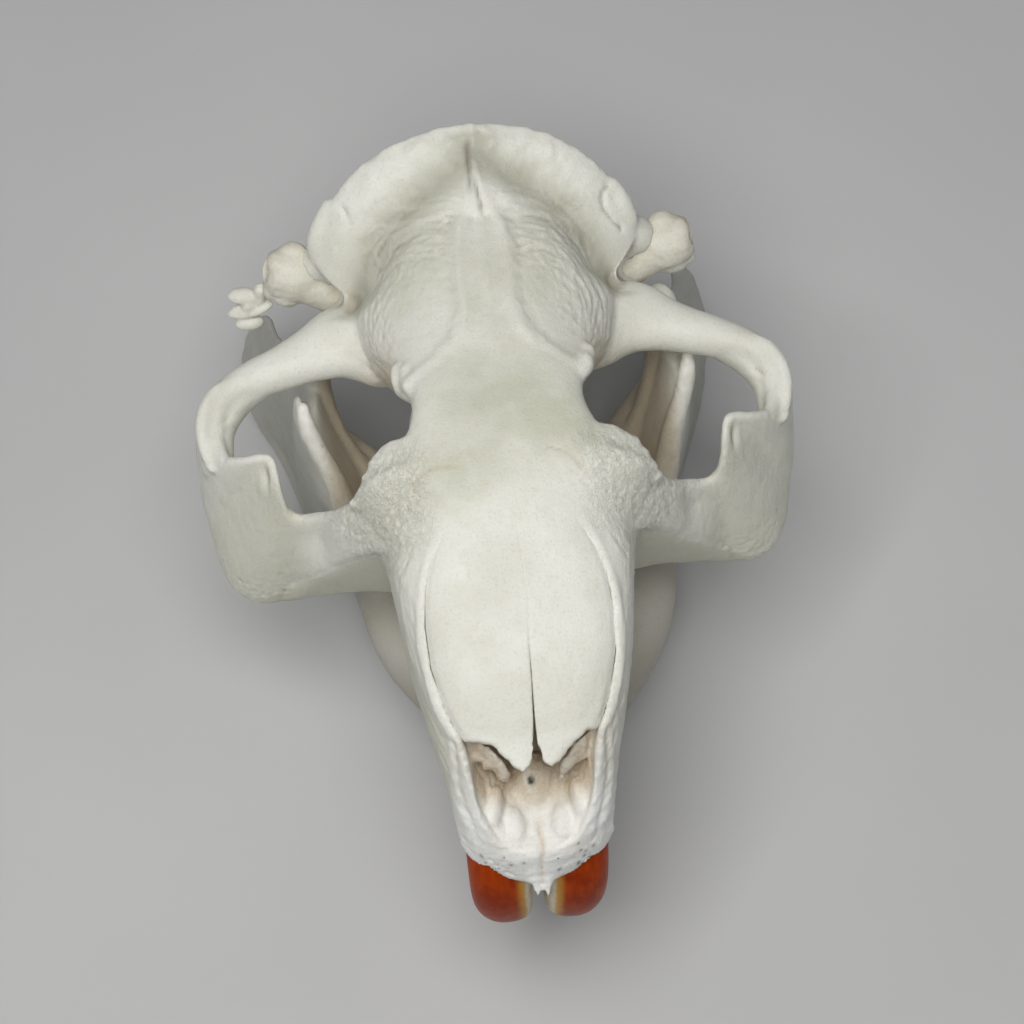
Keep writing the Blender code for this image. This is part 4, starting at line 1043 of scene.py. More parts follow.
def temple_relief(points):
    """Flat band between the temple ridges, the fan of muscle lines and the valley behind it."""
    x, y, z = points.T
    height = np.zeros(len(points))
    for sign in SIDES.values():
        centre = np.array(TEMPLE_FAN[sign])
        ridge = through(TEMPLE_RIDGE[sign], y)[:, 0]
        outside = x * sign - ridge
        mine = (x * sign > -1) & (y > 64) & (z > 66)
        band = ramp(outside, 1.0, -0.6) * ramp(y, 69, 76)
        rough = 0.7 + 0.5 * grain(points, 1.6, 36)
        height += mine * rough * (0.34 * band - 0.24 * ramp(outside, 4.5, 0.9) * ramp(y, 68, 73))
        away = points - centre
        reach = np.linalg.norm(away, axis=1)
        turn = np.arctan2(away[:, 1], away[:, 0] * sign)
        fan = np.c_[reach, turn * 15, 0.15 * z]
        mask = mine * ramp(outside, 0.2, 2.4) * ramp(y, 72, 79) * ramp(107 - y, 0, 6)
        mask *= ramp(24 - x * sign, 0, 5)
        far, rim = ramp(reach, 4, 11), ramp(reach, 10, 16)
        height += mask * far * (0.26 * wrinkle(fan, (1.2, 4.6, 4), 5)
                                + 0.14 * grain(fan, (0.8, 2.4, 3), 6))
        height += mask * rim * (0.13 * grain(fan, (2.4, 9, 8), 4)
                                + 0.06 * wrinkle(fan, (2.2, 5, 5), 35))
        height += mask * (0.07 * grain(points, 1.0, 7) + 0.04 * grain(points, 0.5, 37))
        away, way = trace(points, one_side(VALLEY, sign), 14, flat=True)
        wide = 1.5 + 3.0 * ramp(way, 0, 0.4)
        deep = (0.3 + 2.9 * ramp(way, 0.05, 0.45)) * ramp(way, 0, 0.1) * ramp(1 - way, 0, 0.16)
        height -= mine * deep * np.exp(-(away / wide) ** 2)
    flange = ramp(y, 96, 104) * ramp(z, 70, 76)
    return height + flange * (0.12 * grain(points, (3, 3, 3), 38) + 0.05 * grain(points, 1.2, 39))


def nasal_half(y):
    """Half width of the nasal bones."""
    return through([(at, half) for half, at in NASAL_EDGE[::-1]], y)[:, 0]


def brow_relief(points):
    """Rough, finely wrinkled bone beside the nasal bones and over the tear shelves."""
    x, y, z = points.T
    side = abs(x)
    mask = ramp(side - nasal_half(y), 0.8, 4) * ramp(y, 30, 38) * ramp(60 - y, 0, 7) * ramp(z, 70, 76)
    mask *= ramp(34 - side, 0, 8)
    slant = np.c_[side * 0.6 - y * 0.8, side * 0.8 + y * 0.6, z]
    wide = 0.35 + 0.65 * ramp(side, 9, 18)
    height = mask * wide * (0.17 * wrinkle(slant, (7.0, 1.2, 3.0), 8)
                            + 0.15 * wrinkle(slant, (3.6, 0.95, 1.8), 9)
                            + 0.07 * grain(points, 1.1, 19))
    knobs = sum(much * spot(points, (x, 68.4, 83.8), (3.6, 3.2, 3.6)) for x, much in ((-15, 1), (15, 0.5)))
    return height + knobs * 0.1 * grain(points, 1.0, 18)


def snout_relief(points):
    """Bead along the nasal bones, flow lines on the snout, and the lining and lip of its opening."""
    x, y, z = points.T
    side = abs(x)
    growing = 0.6 + 0.9 * ramp(34 - y, 0, 24)
    bead = [(half + 0.7, at) for half, at in NASAL_EDGE[2:]] + [(10.75, 1.5), (10.3, -2.4)]
    height = ramp(z, 68, 74) * growing * twin_welts(points, bead[::-1], 0.62, 0.42, flat=True, fade=0.16)
    bowl = [(9.5, 0), (7.4, -4.8), (5.4, -8), (2, -9.2), (0.3, -9.3)]
    height += ramp(z, 62, 65) * twin_welts(points, bowl, 0.45, -0.42, flat=True, fade=0.2)
    for gap, deep in ((2.3, -0.34), (3.9, -0.2)):
        outer = [(half + gap, at) for half, at in NOSTRIL_RIM[:-1]]
        height += ramp(z, 56, 62) * twin_welts(points, outer, 0.5, deep, flat=True, fade=0.25)
    lines = ramp(side, 10, 13) * ramp(44 - y, 0, 16) * ramp(87 - z, 0, 5) * ramp(y, -12, -6)
    height += lines * (0.16 * grain(points, (1.0, 9, 1.1), 12) + 0.09 * grain(points, (0.6, 5, 0.7), 13))
    inside = ramp(mouth_depth(points), 0.6, 2.5) * ramp(y, -4, 2)
    sheets = ramp(y, 0, 2) * ramp(10.4 - side, 0, 1) * (y < 9) * (z < 78.2) * (z > 60)
    inside = np.maximum(inside, sheets)
    height += inside * (0.3 * grain(points, (1.3, 4.0, 2.4), 17) + 0.18 * grain(points, 0.9, 25))
    height -= 2.6 * spot(points, (-0.1, 2.5, 66.4), (0.6, 0.8, 1.6))
    front = ramp(2 - y, 0, 5) * ramp(z, 52, 56) * (1 - inside)
    turn = np.arctan2(x, -(y - 6)) * 12
    reach = np.hypot(x * 1.05, y - 6)
    flow = np.c_[reach, turn, 0.3 * z]
    height += front * (0.13 * grain(flow, (0.7, 5, 4), 14) + 0.08 * grain(points, 0.6, 15))
    height += front * ramp(z, 57, 59) * 0.1 * wrinkle(points, 1.0, 26)
    return height + pits(points, lip_front(points), 30, 0.36, 0.5, 16)


def lip_front(points):
    """Where small vessels leave the lip over the gnawing teeth."""
    lower = twin_spots(points, (7.6, -10.3, 61), (4.3, 2.4, 3.4))
    return np.clip(lower, 0, 1) * (points[:, 2] > 58)


def creased(points):
    """The creases laid on from above, on the crest and on the lip over the gnawing teeth."""
    upper = points[:, 2] > np.where(points[:, 1] > 50, 78, 57)
    return upper * sum(welt(points, path, width, depth, flat=True, fade=0.3)
                       for path, width, depth in CREASES)


def arch_relief(points):
    """Fine streaks on the cheek plates, rough corners, the pit in the tab and the bar's inner face."""
    x, y, z = points.T
    side = abs(x)
    plate = ramp(side, 24, 30) * ramp(64 - y, 0, 6)
    height = plate * (0.05 * grain(points, (0.9, 4, 4), 20) + 0.04 * grain(points, (0.5, 1.8, 1.8), 21))
    for sign in SIDES.values():
        corner = spot(points, (sign * 44, 46.6, 49), (7, 4, 5))
        height += corner * (0.16 * grain(points, 1.1, 22) + 0.12 * grain(points, 0.6, 23))
        height += pits(points, corner, 14, 0.34, 0.2, 24)
    height -= 0.9 * twin_spots(points, (40.4, 57.8, 73.6), (0.6, 1.7, 2.4))
    height += twin_welts(points, [(38.8, 60.6, 76.2), (43.5, 61.8, 74.0), (47, 63.6, 71)], 1.2, 0.25)
    inner = [(40.5, 76.6), (44.6, 74.0), (47.0, 70.8), (48.2, 67.0)]
    seam = [(41.6, 74.4), (44.4, 72.6), (46.8, 70.6), (48.0, 68.8)]
    return height + ramp(z, 63, 66) * (twin_welts(points, inner, 1.5, -0.22, flat=True)
                                       + twin_welts(points, seam, 0.34, 0.12, flat=True))


def skull_relief(points):
    """All that is carved into the upper skull."""
    _, y, z = points.T
    height = skin_grain(points) + temple_relief(points) + brow_relief(points)
    height += snout_relief(points) + arch_relief(points)
    wander = points + 0.35 * np.stack([grain(points, 1.7, seed) for seed in (30, 31, 32)], 1)
    for path, width, depth, twin in SEAMS:
        height += (twin_welts if twin else welt)(wander, path, width, depth)
    height += creased(wander)
    nape = ramp(y, 104, 109) * ramp(z, 58, 64)
    return height + nape * (0.22 * grain(points, (2.6, 2.6, 6), 33) + 0.1 * grain(points, 1.3, 34))


def mouth_depth(points):
    """How far below the rim of the nasal opening a point inside it lies."""
    x, y, z = points.T
    rim = through(NOSTRIL_LINES["level"], y)[:, 0]
    half = through(NOSTRIL_LINES["half"], y)[:, 0]
    inside = (abs(x) < half + 0.8) & (y > -10.0) & (y < 20) & (z > 59.5)
    return np.where(inside, np.maximum(rim - z - 0.5, 0), 0)


def skull_stain_and_shade(points):
    """Tan of the nasal cavity, and painted shade in tan in the recesses round the eye sockets and beside
    the nose under the nasal bones.
    """
    x, y, z = points.T
    deep = mouth_depth(points)
    drift = 0.5 + 0.5 * grain(points, (1.6, 5, 3), 40)
    mouth = ramp(deep, 0.2, 3.0) * ramp(y, -4.5, 2.0) * (0.6 + 0.45 * drift)
    roofed = ramp(y, -1, 3) * ramp(18 - y, 0, 2) * ramp(10.3 - abs(x), 0, 0.7) * ramp(79 - z, 0, 1.5)
    mouth = np.maximum(mouth, roofed * (z > 60) * (0.3 + 0.55 * drift))
    mouth = np.maximum(mouth, 0.12 * ramp(deep, 0, 1.0))
    pale = spot(points, (-3.7, -4.4, 64), (2.2, 4.2, 3)) + spot(points, (4.4, -4.8, 64), (2.2, 4.2, 3))
    crack = -1.2 * creased(points) * (y < 50)
    for path, *_ in SEAMS[:2]:
        crack = crack - welt(points, path, 0.4, -0.4, fade=0.3)
    hole = spot(points, (-0.3, 2.5, 67.0), (0.9, 1.1, 2.4))
    # Painted shade in recesses round the eye sockets and under the front corners of the nasal bones
    recesses = (((19, 76, 68), (6, 5, 7), 0.3), ((17, 66, 70), (4, 9, 8), 0.4),
                ((10.2, 7, 77), (1.6, 4, 3), 0.35), ((18.0, 73.5, 76), (4, 4, 6), 0.5))
    nook_shade = sum(share * twin_spots(points, at, halves) for at, halves, share in recesses)
    return np.clip(mouth * (1 - 0.6 * np.minimum(pale, 1)) + crack + nook_shade, 0, 1) * (1 - hole)


def skull_tint_and_shade(points):
    """Yellow-green cast of the forehead and the temples, with painted shade in the valley behind them, on
    the cheek plates, below the fold of each cheek plate and on the right side of the snout.
    """
    x, y, z = points.T
    cloud = 0.95 + 0.45 * grain(points, 6, 41) + 0.2 * grain(points, 2, 42)
    places = [((-8, 50, 89), (8, 5, 6), 1.0), ((8, 57, 90), (10, 6, 6), 1.0),
              ((0, 64, 90), (12, 9, 6), 0.8), ((-20, 47, 84), (8, 6, 8), 0.6),
              ((12, 88, 86), (8, 10, 6), 0.7), ((0, 80, 88), (6, 12, 5), 0.5),
              ((-12, 90, 84), (8, 9, 6), 0.7), ((20, 50, 84), (7, 6, 8), 0.5)]
    tint = sum(share * spot(points, at, size) for at, size, share in places)
    # Painted shade in the valley before the crest
    tint += twin_welts(points, VALLEY, 3.4, 0.9, flat=True, fade=0.05) * (z > 70)
    side = abs(x)
    # Painted shade on the cheek plates
    plate = 0.6 * ramp(side, 30, 38) * ramp(66 - y, 0, 10)
    # Painted shade on the front face below the fold of each cheek plate
    fold = np.interp(side, [20.5, 24.6, 28, 31.1, 34.6, 38, 41], [75.4, 71.6, 67, 62.4, 57.2, 52.2, 49.4])
    under = ramp(fold - z, -0.2, 1.4) * ramp(side, 18, 20.5) * ramp(43.5 - side, 0, 3)
    under *= (y < 48) * ramp(y, 36, 42)
    # Painted shade on the right side of the snout
    snout = ramp(-x, 12.6, 14.6) * ramp(32 - y, 0, 8) * ramp(80 - z, 0, 3) * ramp(y, -6, 0)
    return np.clip(cloud * tint + plate + under + 0.7 * snout, 0, 1)


def skull_pores(points):
    """Where the bone is porous: the front of the snout."""
    front = sum(spot(points, (at, -10.0, 61.4), (3.6, 2.6, 3.0)) for at in (-7.6, 7.8))
    return np.clip(0.9 * front, 0, 1)


def skull_pale(points):
    """Lip of bone over the gnawing teeth, partly pale bone and partly painted light on its front, and
    painted light on the lining behind it, which the nasal bones shade.
    """
    x, y, z = points.T
    # Painted light on the lining that the nasal bones shade
    lining = 0.6 * ramp(10.6 - abs(x), 0, 1) * (y < 9) * ramp(y, -9, -7) * ramp(z, 62, 64) * (z < 78.2)
    return np.maximum(ramp(2 - y, 0, 6) * ramp(z, 55, 58), lining)


def skull_dark(points):
    """Deep shade in the nasal cavity's hole and the vessels' holes, and a little before the crest."""
    hole = 2.6 * spot(points, (-0.3, 2.5, 65.4), (0.62, 0.85, 2.2)) - 0.7
    valley = twin_welts(points, VALLEY, 3.0, 0.2, flat=True)
    vessels = -1.5 * pits(points, lip_front(points), 46, 0.27, 0.55, 27)
    crest = -0.6 * creased(points) * (points[:, 1] > 50)
    return np.clip(np.maximum(hole, 0) + valley * (points[:, 2] > 70) + vessels + crest, 0, 1)


def skull_cracks(points):
    """Where fine hairlines run: the rough bone beside the nasal bones and below the tear shelves."""
    x, y, z = points.T
    return ramp(abs(x), 9, 17) * ramp(y, 34, 42) * ramp(60 - y, 0, 8) * ramp(z, 66, 74)


def nasal_relief(points):
    """The nasal bones: smooth, a little rolled down at the edge, flush with the forehead behind."""
    x, y, _ = points.T
    inward = nasal_half(y) - abs(x)
    behind = ramp(y, 36, 43)
    height = skin_grain(points) * (0.5 + 0.5 * behind) + 0.03 * grain(points, (0.8, 2.4, 0.8), 50)
    height -= 0.26 * ramp(inward, 1.3, 0.1) * (y > 8) * (1 - behind)
    height += 0.16 * ramp(inward, 1.0, 4.5) * ramp(y, 4, 12) * (1 - behind)
    return height - 0.14 * np.exp(-((x - 1.2) / 2.2) ** 2) * ramp(30 - y, 0, 12)


def nasal_tint(points):
    """Faint clouds on the nasal bones, running on into those of the forehead."""
    return np.clip(skull_tint_and_shade(points) + 0.12 * grain(points, 7, 51) + 0.04, 0, 1)


def thin_rim_stain(points):
    """Tan that creeps in from the front edge of the nasal bones, on their underside."""
    _, y, z = points.T
    return 0.7 * ramp(nasal_floor(y) + 1.2 - z, 0, 1.0)


# Relief of the smaller bones

def ear_relief(points):
    """Lumpy bone with a few long creases."""
    flow = np.c_[points[:, 0] * 0.35, points[:, 1], points[:, 2]]
    return skin_grain(points) + 0.16 * grain(flow, 2.6, 60) + 0.07 * grain(points, 1.3, 61)


def ear_stain(points):
    """Cream of the ear bones, deeper near the seam with the skull and round the ear canal."""
    side = abs(points[:, 0])
    mouth = twin_spots(points, (37.5, 100.6, 68), (2.4, 2.6, 2.6))
    return np.clip(0.12 + 0.2 * ramp(29 - side, 0, 5) + 0.3 * mouth + 0.1 * grain(points, 4, 62), 0, 1)


# Front edge of the jaw's tall plate, and the rim of the jaw angle
PLATE_FRONT = [(27.6, 58.5, 36.6), (29.4, 64, 43.6), (31.8, 70.4, 52.4), (34.8, 77, 60.8)]
JAW_RIM = [(25.6, 61, 7.4), (33.8, 78, 2), (40.8, 93, 1.7), (45.4, 107, 8.8)]


def plate_front(points, sign, reach):
    """1 along the front edge of one tall plate, fading within the reach."""
    near, _ = trace(points, one_side(PLATE_FRONT, sign), reach)
    return np.exp(-(near / 2.2) ** 2)


def jaw_relief(points):
    """Porous front edge of the tall plate, streaked plates, muscle lines and the nerve hole."""
    _, y, z = points.T
    height = skin_grain(points) + ramp(y, 48, 60) * 0.07 * grain(points, (1.2, 1.6, 9), 70)
    height -= 1.3 * twin_spots(points, (12.9, 22.5, 20.5), (1.2, 1.5, 1.0))
    height += twin_welts(points, JAW_RIM, 2.4, 0.3)
    for sign in SIDES.values():
        rough = plate_front(points, sign, 5)
        height += rough * (0.14 * grain(points, 1.8, 71) + 0.07 * grain(points, 0.8, 72))
        height += pits(points, rough, 10, 0.36, 0.25, 73)
        scar, _ = trace(points, one_side(JAW_RIM, sign), 12)
        lines = np.exp(-(scar / 8) ** 2) * ramp(scar, 0.5, 4)
        height += 0.16 * lines * grain(points, (3, 1.4, 5), 74)
    chin = ramp(44 - y, 0, 10) * ramp(26 - z, 0, 10)
    return height + chin * (0.14 * grain(points, (1.3, 6, 1.3), 75) + 0.06 * grain(points, 0.9, 76))


def jaw_stain_and_shade(points):
    """Warm tone of the jaw's thick parts, with painted shade in tan on its sheltered side between the tall
    plate and the knuckle.
    """
    y = points[:, 1]
    cloud = 0.5 + 0.5 * grain(points, 8, 77)
    # The share on the sheltered side is painted shade
    return np.clip(0.04 + 0.2 * cloud * ramp(72 - y, 0, 22) + 0.7 * jaw_between(points), 0, 1)


def jaw_between(points):
    """The sheltered side of the jaw under the braincase, between the tall plate and the knuckle."""
    x, y, z = points.T
    return ramp(z, 24, 34) * ramp(33.5 - abs(x), 0, 4) * ramp(y, 56, 66)


def jaw_pale(points):
    """Pale rough front edge of the tall plate."""
    near = sum(plate_front(points, sign, 6) for sign in SIDES.values())
    return np.clip(near * ramp(grain(points, 1.6, 78), -0.5, 0.3), 0, 1)


def jaw_dark(points):
    """Shade low on the jaw and in its sheltered side."""
    low = ramp(42 - points[:, 2], 0, 12) * ramp(74 - points[:, 1], 0, 14)
    return np.maximum(0.34 * jaw_between(points), 0.22 * low)


def jaw_painted_shade(points):
    """Painted shade: grey laid on the jaw's thin plates and, more strongly, low on its body, which the
    skull shades.
    """
    x, y, z = points.T
    plates = 0.8 * ramp(abs(x), 31, 36) * ramp(y, 62, 74) * ramp(56 - z, 0, 8)
    return np.clip(np.maximum(plates, 0.85 * ramp(40 - z, 0, 12)), 0, 1)


def chip_relief(points):
    """Lumpy little scrap."""
    return 0.08 * grain(points, 2.0, 80) + 0.05 * grain(points, 0.9, 81)


# Finishes mixed from nodes

def add(tree, kind, inputs=(), **settings):
    """New node; each input is a value or another node's socket, by the socket's name or number."""
    node = tree.nodes.new("ShaderNode" + kind)
    for key, value in settings.items():
        setattr(node, key, value)
    for key, value in dict(inputs).items():
        if isinstance(value, bpy.types.NodeSocket):
            tree.links.new(value, node.inputs[key])
        else:
            node.inputs[key].default_value = value
    return node


def number(tree, operation, one, two=0.0):
    """Arithmetic on two numbers."""
    return add(tree, "Math", {0: one, 1: two}, operation=operation).outputs[0]


def times(tree, one, two):
    """Two numbers multiplied."""
    return number(tree, "MULTIPLY", one, two)


def off_middle(tree, cloud):
    """How far noise lies from its middle, which is nothing along thin wandering lines."""
    return number(tree, "ABSOLUTE", number(tree, "SUBTRACT", cloud, 0.5))


def eased(tree, value, start, end, low=0.0, high=1.0):
    """A value stretched smoothly from one range to another."""
    inputs = {"Value": value, "From Min": start, "From Max": end, "To Min": low, "To Max": high}
    return add(tree, "MapRange", inputs, interpolation_type="SMOOTHSTEP").outputs["Result"]


def blended(tree, share, one, two):
    """Two colours mixed by a share."""
    return add(tree, "Mix", {0: share, 6: one, 7: two}, data_type="RGBA").outputs[2]


def layered(tree, colour, *layers):
    """A colour with others laid over it in turn, each given as (share, colour)."""
    for share, tone in layers:
        colour = blended(tree, share, colour, rgba(tone))
    return colour


def clouds(tree, place, scale, detail, rough=0.5):
    """Noise, 0 to 1, with so many lumps to the millimetre."""
    inputs = {"Vector": place, "Scale": scale, "Detail": detail, "Roughness": rough}
    return add(tree, "TexNoise", inputs).outputs["Fac"]


def noted(tree, name):
    """A number stored on the mesh by carve."""
    return add(tree, "Attribute", attribute_name=name).outputs["Fac"]


def stretched(tree, place, factors):
    """A place multiplied by a factor along each axis."""
    return add(tree, "VectorMath", {0: place, 1: factors}, operation="MULTIPLY").outputs[0]


def millimetres(tree, stretch=(1, 1, 1)):
    """The place on the object in millimetres, stretched along each axis."""
    place = add(tree, "TexCoord").outputs["Object"]
    return stretched(tree, place, [factor / MM for factor in stretch])


def rgba(colour):
    """A colour with full opacity."""
    return (*colour, 1.0)


def fresh(name):
    """New material, its tree and its shader."""
    material = bpy.data.materials.new(name)
    material.use_nodes = True
    return material, material.node_tree, material.node_tree.nodes["Principled BSDF"]


def plugged(tree, shader, colour, rough, relief, strength, deep):
    """Plug colour, roughness and a fine relief, so many millimetres deep, into a shader."""
    bump = add(tree, "Bump", {"Height": relief, "Strength": strength, "Distance": deep * MM})
    for socket, value in (("Base Color", colour), ("Roughness", rough), ("Normal", bump.outputs[0])):
        tree.links.new(value, shader.inputs[socket])


def bone_finish(name, colours, warmth=0.0, gloss=0.46, cast_and_shade_colour=None):
    """Cleaned bone: mottled ivory, warm painted shade in its hollows, painted highlight on its ridges,
    pored where chalky.
    """
    material, tree, shader = fresh(name)
    place = millimetres(tree)
    broad = clouds(tree, place, 0.06, 3)
    patch = clouds(tree, place, 0.32, 4, 0.6)
    fine = clouds(tree, place, 1.9, 4, 0.65)
    tiny = clouds(tree, place, 5.0, 3, 0.6)
    hollow, dent, pores, cracks, stain, tint, pale, dark = (
        noted(tree, key)
        for key in ("hollow", "dent", "pores", "cracks", "stain", "tint", "pale", "dark"))

    vein = eased(tree, off_middle(tree, clouds(tree, place, 0.55, 3, 0.6)), 0.016, 0.004)
    vein = times(tree, vein, cracks)
    lines = clouds(tree, millimetres(tree, (1.0, 0.45, 0.8)), 1.3, 4, 0.65)
    lines = eased(tree, off_middle(tree, lines), 0.0, 0.07, 1, 0)
    lines = times(tree, lines, number(tree, "ADD", cracks, 0.12))

    cells = add(tree, "TexVoronoi", {"Vector": place, "Scale": 1.0})
    chance = add(tree, "SeparateColor", {"Color": cells.outputs["Color"]})
    open_pore = number(tree, "LESS_THAN", chance.outputs[0], times(tree, pores, 0.5))
    width = eased(tree, chance.outputs[1], 0, 1, 0.12, 0.3)
    hole = eased(tree, number(tree, "DIVIDE", cells.outputs["Distance"], width), 1.0, 0.55)
    hole = times(tree, hole, open_pore)

    colour = layered(
        tree, rgba(colours.bone),
        (eased(tree, broad, 0.35, 0.65), colours.bone_pale),
        (warmth, colours.cream),
        (eased(tree, patch, 0.46, 0.72, 0, 0.3), colours.cream),
        # Tint: yellow-green cast, and painted shade where its mask lays it
        (times(tree, tint, 0.75), cast_and_shade_colour or colours.green_cast_and_shade),
        # Painted shade in broad hollows and close dents, painted highlight on ridges
        (eased(tree, hollow, 0.03, 0.5, 0, 0.55), colours.recess_shade_and_crack),
        (eased(tree, dent, 0.02, 0.16, 0, 0.42), colours.recess_shade_and_crack),
        (eased(tree, dent, -0.02, -0.12, 0, 0.3), colours.pale_and_highlight),
        # Pale mask: painted light and pale bone on the skull's lip, painted light on the nasal lining,
        # pale bone on the jaw's plate edge
        (pale, colours.pale_and_highlight),
        # Stain: real tan, and painted shade in recesses and on the jaw's sheltered side
        (times(tree, stain, eased(tree, fine, 0.25, 0.8, 0.75, 1.15)), colours.stain),
        (times(tree, vein, 0.14), colours.recess_shade_and_crack),
        (times(tree, lines, 0.1), colours.recess_shade_and_crack),
        (dark, colours.pore),
        (eased(tree, fine, 0.5, 0.74, 0, 0.2), colours.recess_shade_and_crack),
        (times(tree, hole, 0.75), colours.pore),
    )
    rough = eased(tree, patch, 0.3, 0.7, gloss - 0.06, gloss + 0.1)
    rough = number(tree, "ADD", rough, times(tree, pores, 0.14))
    relief = number(tree, "ADD", times(tree, fine, 0.6), times(tree, tiny, 0.35))
    for sunk, depth in ((hole, 2.0), (vein, 0.35), (lines, 0.3)):
        relief = number(tree, "SUBTRACT", relief, times(tree, sunk, depth))
    plugged(tree, shader, colour, rough, relief, 0.8, 0.2)
    shader.inputs["Specular IOR Level"].default_value = 0.42
    return material


def gnawing_finish(colours):
    """Glossy orange enamel on the front of a gnawing tooth, pale dentine behind and inside."""
    material, tree, shader = fresh("gnawing_tooth")
    enamel = noted(tree, "enamel")
    streak = add(tree, "CombineXYZ", {0: noted(tree, "across"), 1: noted(tree, "run")}).outputs[0]
    lines = clouds(tree, stretched(tree, streak, (1.1, 0.16, 1)), 1.0, 4, 0.6)
    scratch = clouds(tree, stretched(tree, streak, (2.0, 3.2, 1)), 1.0, 5, 0.7)
    patch = clouds(tree, millimetres(tree), 0.3, 3)
    orange = layered(
        tree, rgba(colours.enamel_deep),
        (eased(tree, lines, 0.2, 0.75, 0.3, 1), colours.enamel),
        (eased(tree, patch, 0.42, 0.66, 0, 0.75), colours.enamel_deep),
        (eased(tree, scratch, 0.66, 0.74, 0, 0.1), colours.enamel_edge),
        (noted(tree, "edge"), colours.enamel_edge),
    )
    ivory = layered(tree, rgba(colours.dentine), (eased(tree, lines, 0.3, 0.7, 0, 0.6), colours.pale_and_highlight))
    relief = number(tree, "ADD", lines, times(tree, scratch, 0.35))
    plugged(tree, shader, blended(tree, enamel, ivory, orange), eased(tree, enamel, 0, 1, 0.5, 0.34),
            relief, 0.5, 0.1)
    shader.inputs["Specular IOR Level"].default_value = 0.06
    return material


def chewing_finish(colours):
    """Cheek teeth: pale enamel walls with lighter streaks and tan patches."""
    material, tree, shader = fresh("cheek_tooth")
    lines = clouds(tree, millimetres(tree, (1, 1, 0.25)), 1.3, 4, 0.6)
    patch = clouds(tree, millimetres(tree), 0.5, 3)
    colour = layered(tree, rgba(colours.dentine), (eased(tree, lines, 0.35, 0.7), colours.pale_and_highlight),
                     (eased(tree, patch, 0.5, 0.75, 0, 0.5), colours.stain))
    plugged(tree, shader, colour, eased(tree, patch, 0.3, 0.7, 0.3, 0.42), lines, 0.4, 0.15)
    shader.inputs["Coat Weight"].default_value = 0.15
    return material


def floor_finish(colour):
    """Plain pale matte floor with a very faint unevenness."""
    material, tree, shader = fresh("studio_floor")
    place = millimetres(tree)
    shade = clouds(tree, place, 0.008, 3)
    darker = [part * 0.95 for part in colour]
    mixed = layered(tree, rgba(colour), (eased(tree, shade, 0.3, 0.7), darker))
    plugged(tree, shader, mixed, eased(tree, shade, 0.3, 0.7, 0.75, 0.85), clouds(tree, place, 0.9, 4),
            0.15, 0.1)
    return material


# Sizes and colours that can be changed

def colour_entry(name, text, value):
    """A colour setting."""
    return FloatVectorProperty(name=name, description=text, default=value, size=3, min=0, max=1,
                               subtype="COLOR")


def length_entry(name, text, value, low, high):
    """A length setting, in metres like the rest of Blender."""
    return FloatProperty(name=name, description=text, default=value, min=low, max=high,
                         unit="LENGTH", subtype="DISTANCE", precision=5)


def angle_entry(name, text, degrees):
    """An angle setting."""
    return FloatProperty(name=name, description=text, default=math.radians(degrees), subtype="ANGLE")


def power_entry(name, text, watts):
    """A setting for a light's power."""
    return FloatProperty(name=name, description=text, default=watts, min=0, subtype="POWER",
                         unit="POWER")


class BeaverSkullSizes(bpy.types.PropertyGroup):
    """How finely each bone is cast."""

    skull_grid: length_entry("Skull grid", "Face size of the upper skull's mesh", 0.00042, 0.0002, 0.002)
    nasal_grid: length_entry("Nasal grid", "Face size of the nasal bones' meshes", 0.0003, 0.0002, 0.002)
    jaw_grid: length_entry("Jaw grid", "Face size of the lower jaw's meshes", 0.00045, 0.0002, 0.002)
    ear_grid: length_entry("Ear grid", "Face size of the ear bones and the scrap", 0.0003, 0.0002, 0.002)
    tooth_grid: length_entry("Tooth grid", "Face size of the gnawing teeth", 0.00022, 0.0001, 0.001)
    socket_gap: length_entry("Socket gap", "Room round each tooth in its socket", 0.00015, 0.0, 0.001)


class BeaverSkullColours(bpy.types.PropertyGroup):
    """Colours of bone, stains, painted shade and light, and teeth."""

    bone: colour_entry("Bone", "Main tone of the cleaned bone", (0.77, 0.77, 0.69))
    bone_pale: colour_entry("Pale bone", "Lighter patches of bone", (0.85, 0.852, 0.785))
    # Pale tone of teeth and bone edges, also painted highlight on ridges and painted light on the lip and
    # nasal lining
    pale_and_highlight: colour_entry("Worn", "Ridges and worn edges", (0.93, 0.93, 0.895))
    cream: colour_entry("Cream", "Warmer, less bleached bone", (0.75, 0.72, 0.58))
    # Yellow-green cast of the forehead, also laid as painted shade in the valley, on the cheek plates and
    # on one side of the snout
    green_cast_and_shade: colour_entry("Green cast", "Yellow-green of the forehead", (0.57, 0.575, 0.45))
    # Painted shade of the jaw's thin plates and low body
    jaw_shade_grey: colour_entry("Plate grey", "Grey of the thin plates of the jaw", (0.33, 0.335, 0.3))
    # Painted shade in hollows and dents, and the grey of cracks, hairlines and speckle
    recess_shade_and_crack: colour_entry("Recess", "Grey-brown in hollows and seams", (0.36, 0.32, 0.24))
    # Tan of the nasal cavity and real stains, also laid as painted shade in recesses and on the jaw's
    # sheltered side
    stain: colour_entry("Stain", "Tan of the nasal cavity", (0.58, 0.45, 0.29))
    pore: colour_entry("Pore", "Dark inside of the small holes", (0.1, 0.085, 0.065))
    enamel: colour_entry("Enamel", "Orange of the gnawing teeth", (0.45, 0.058, 0.0005))
    enamel_deep: colour_entry("Deep enamel", "Darker red-brown of the enamel", (0.25, 0.02, 0.0003))
    enamel_edge: colour_entry("Enamel edge", "Yellow at the inner edge", (0.62, 0.33, 0.06))
    dentine: colour_entry("Dentine", "Pale core of the teeth", (0.7, 0.6, 0.4))


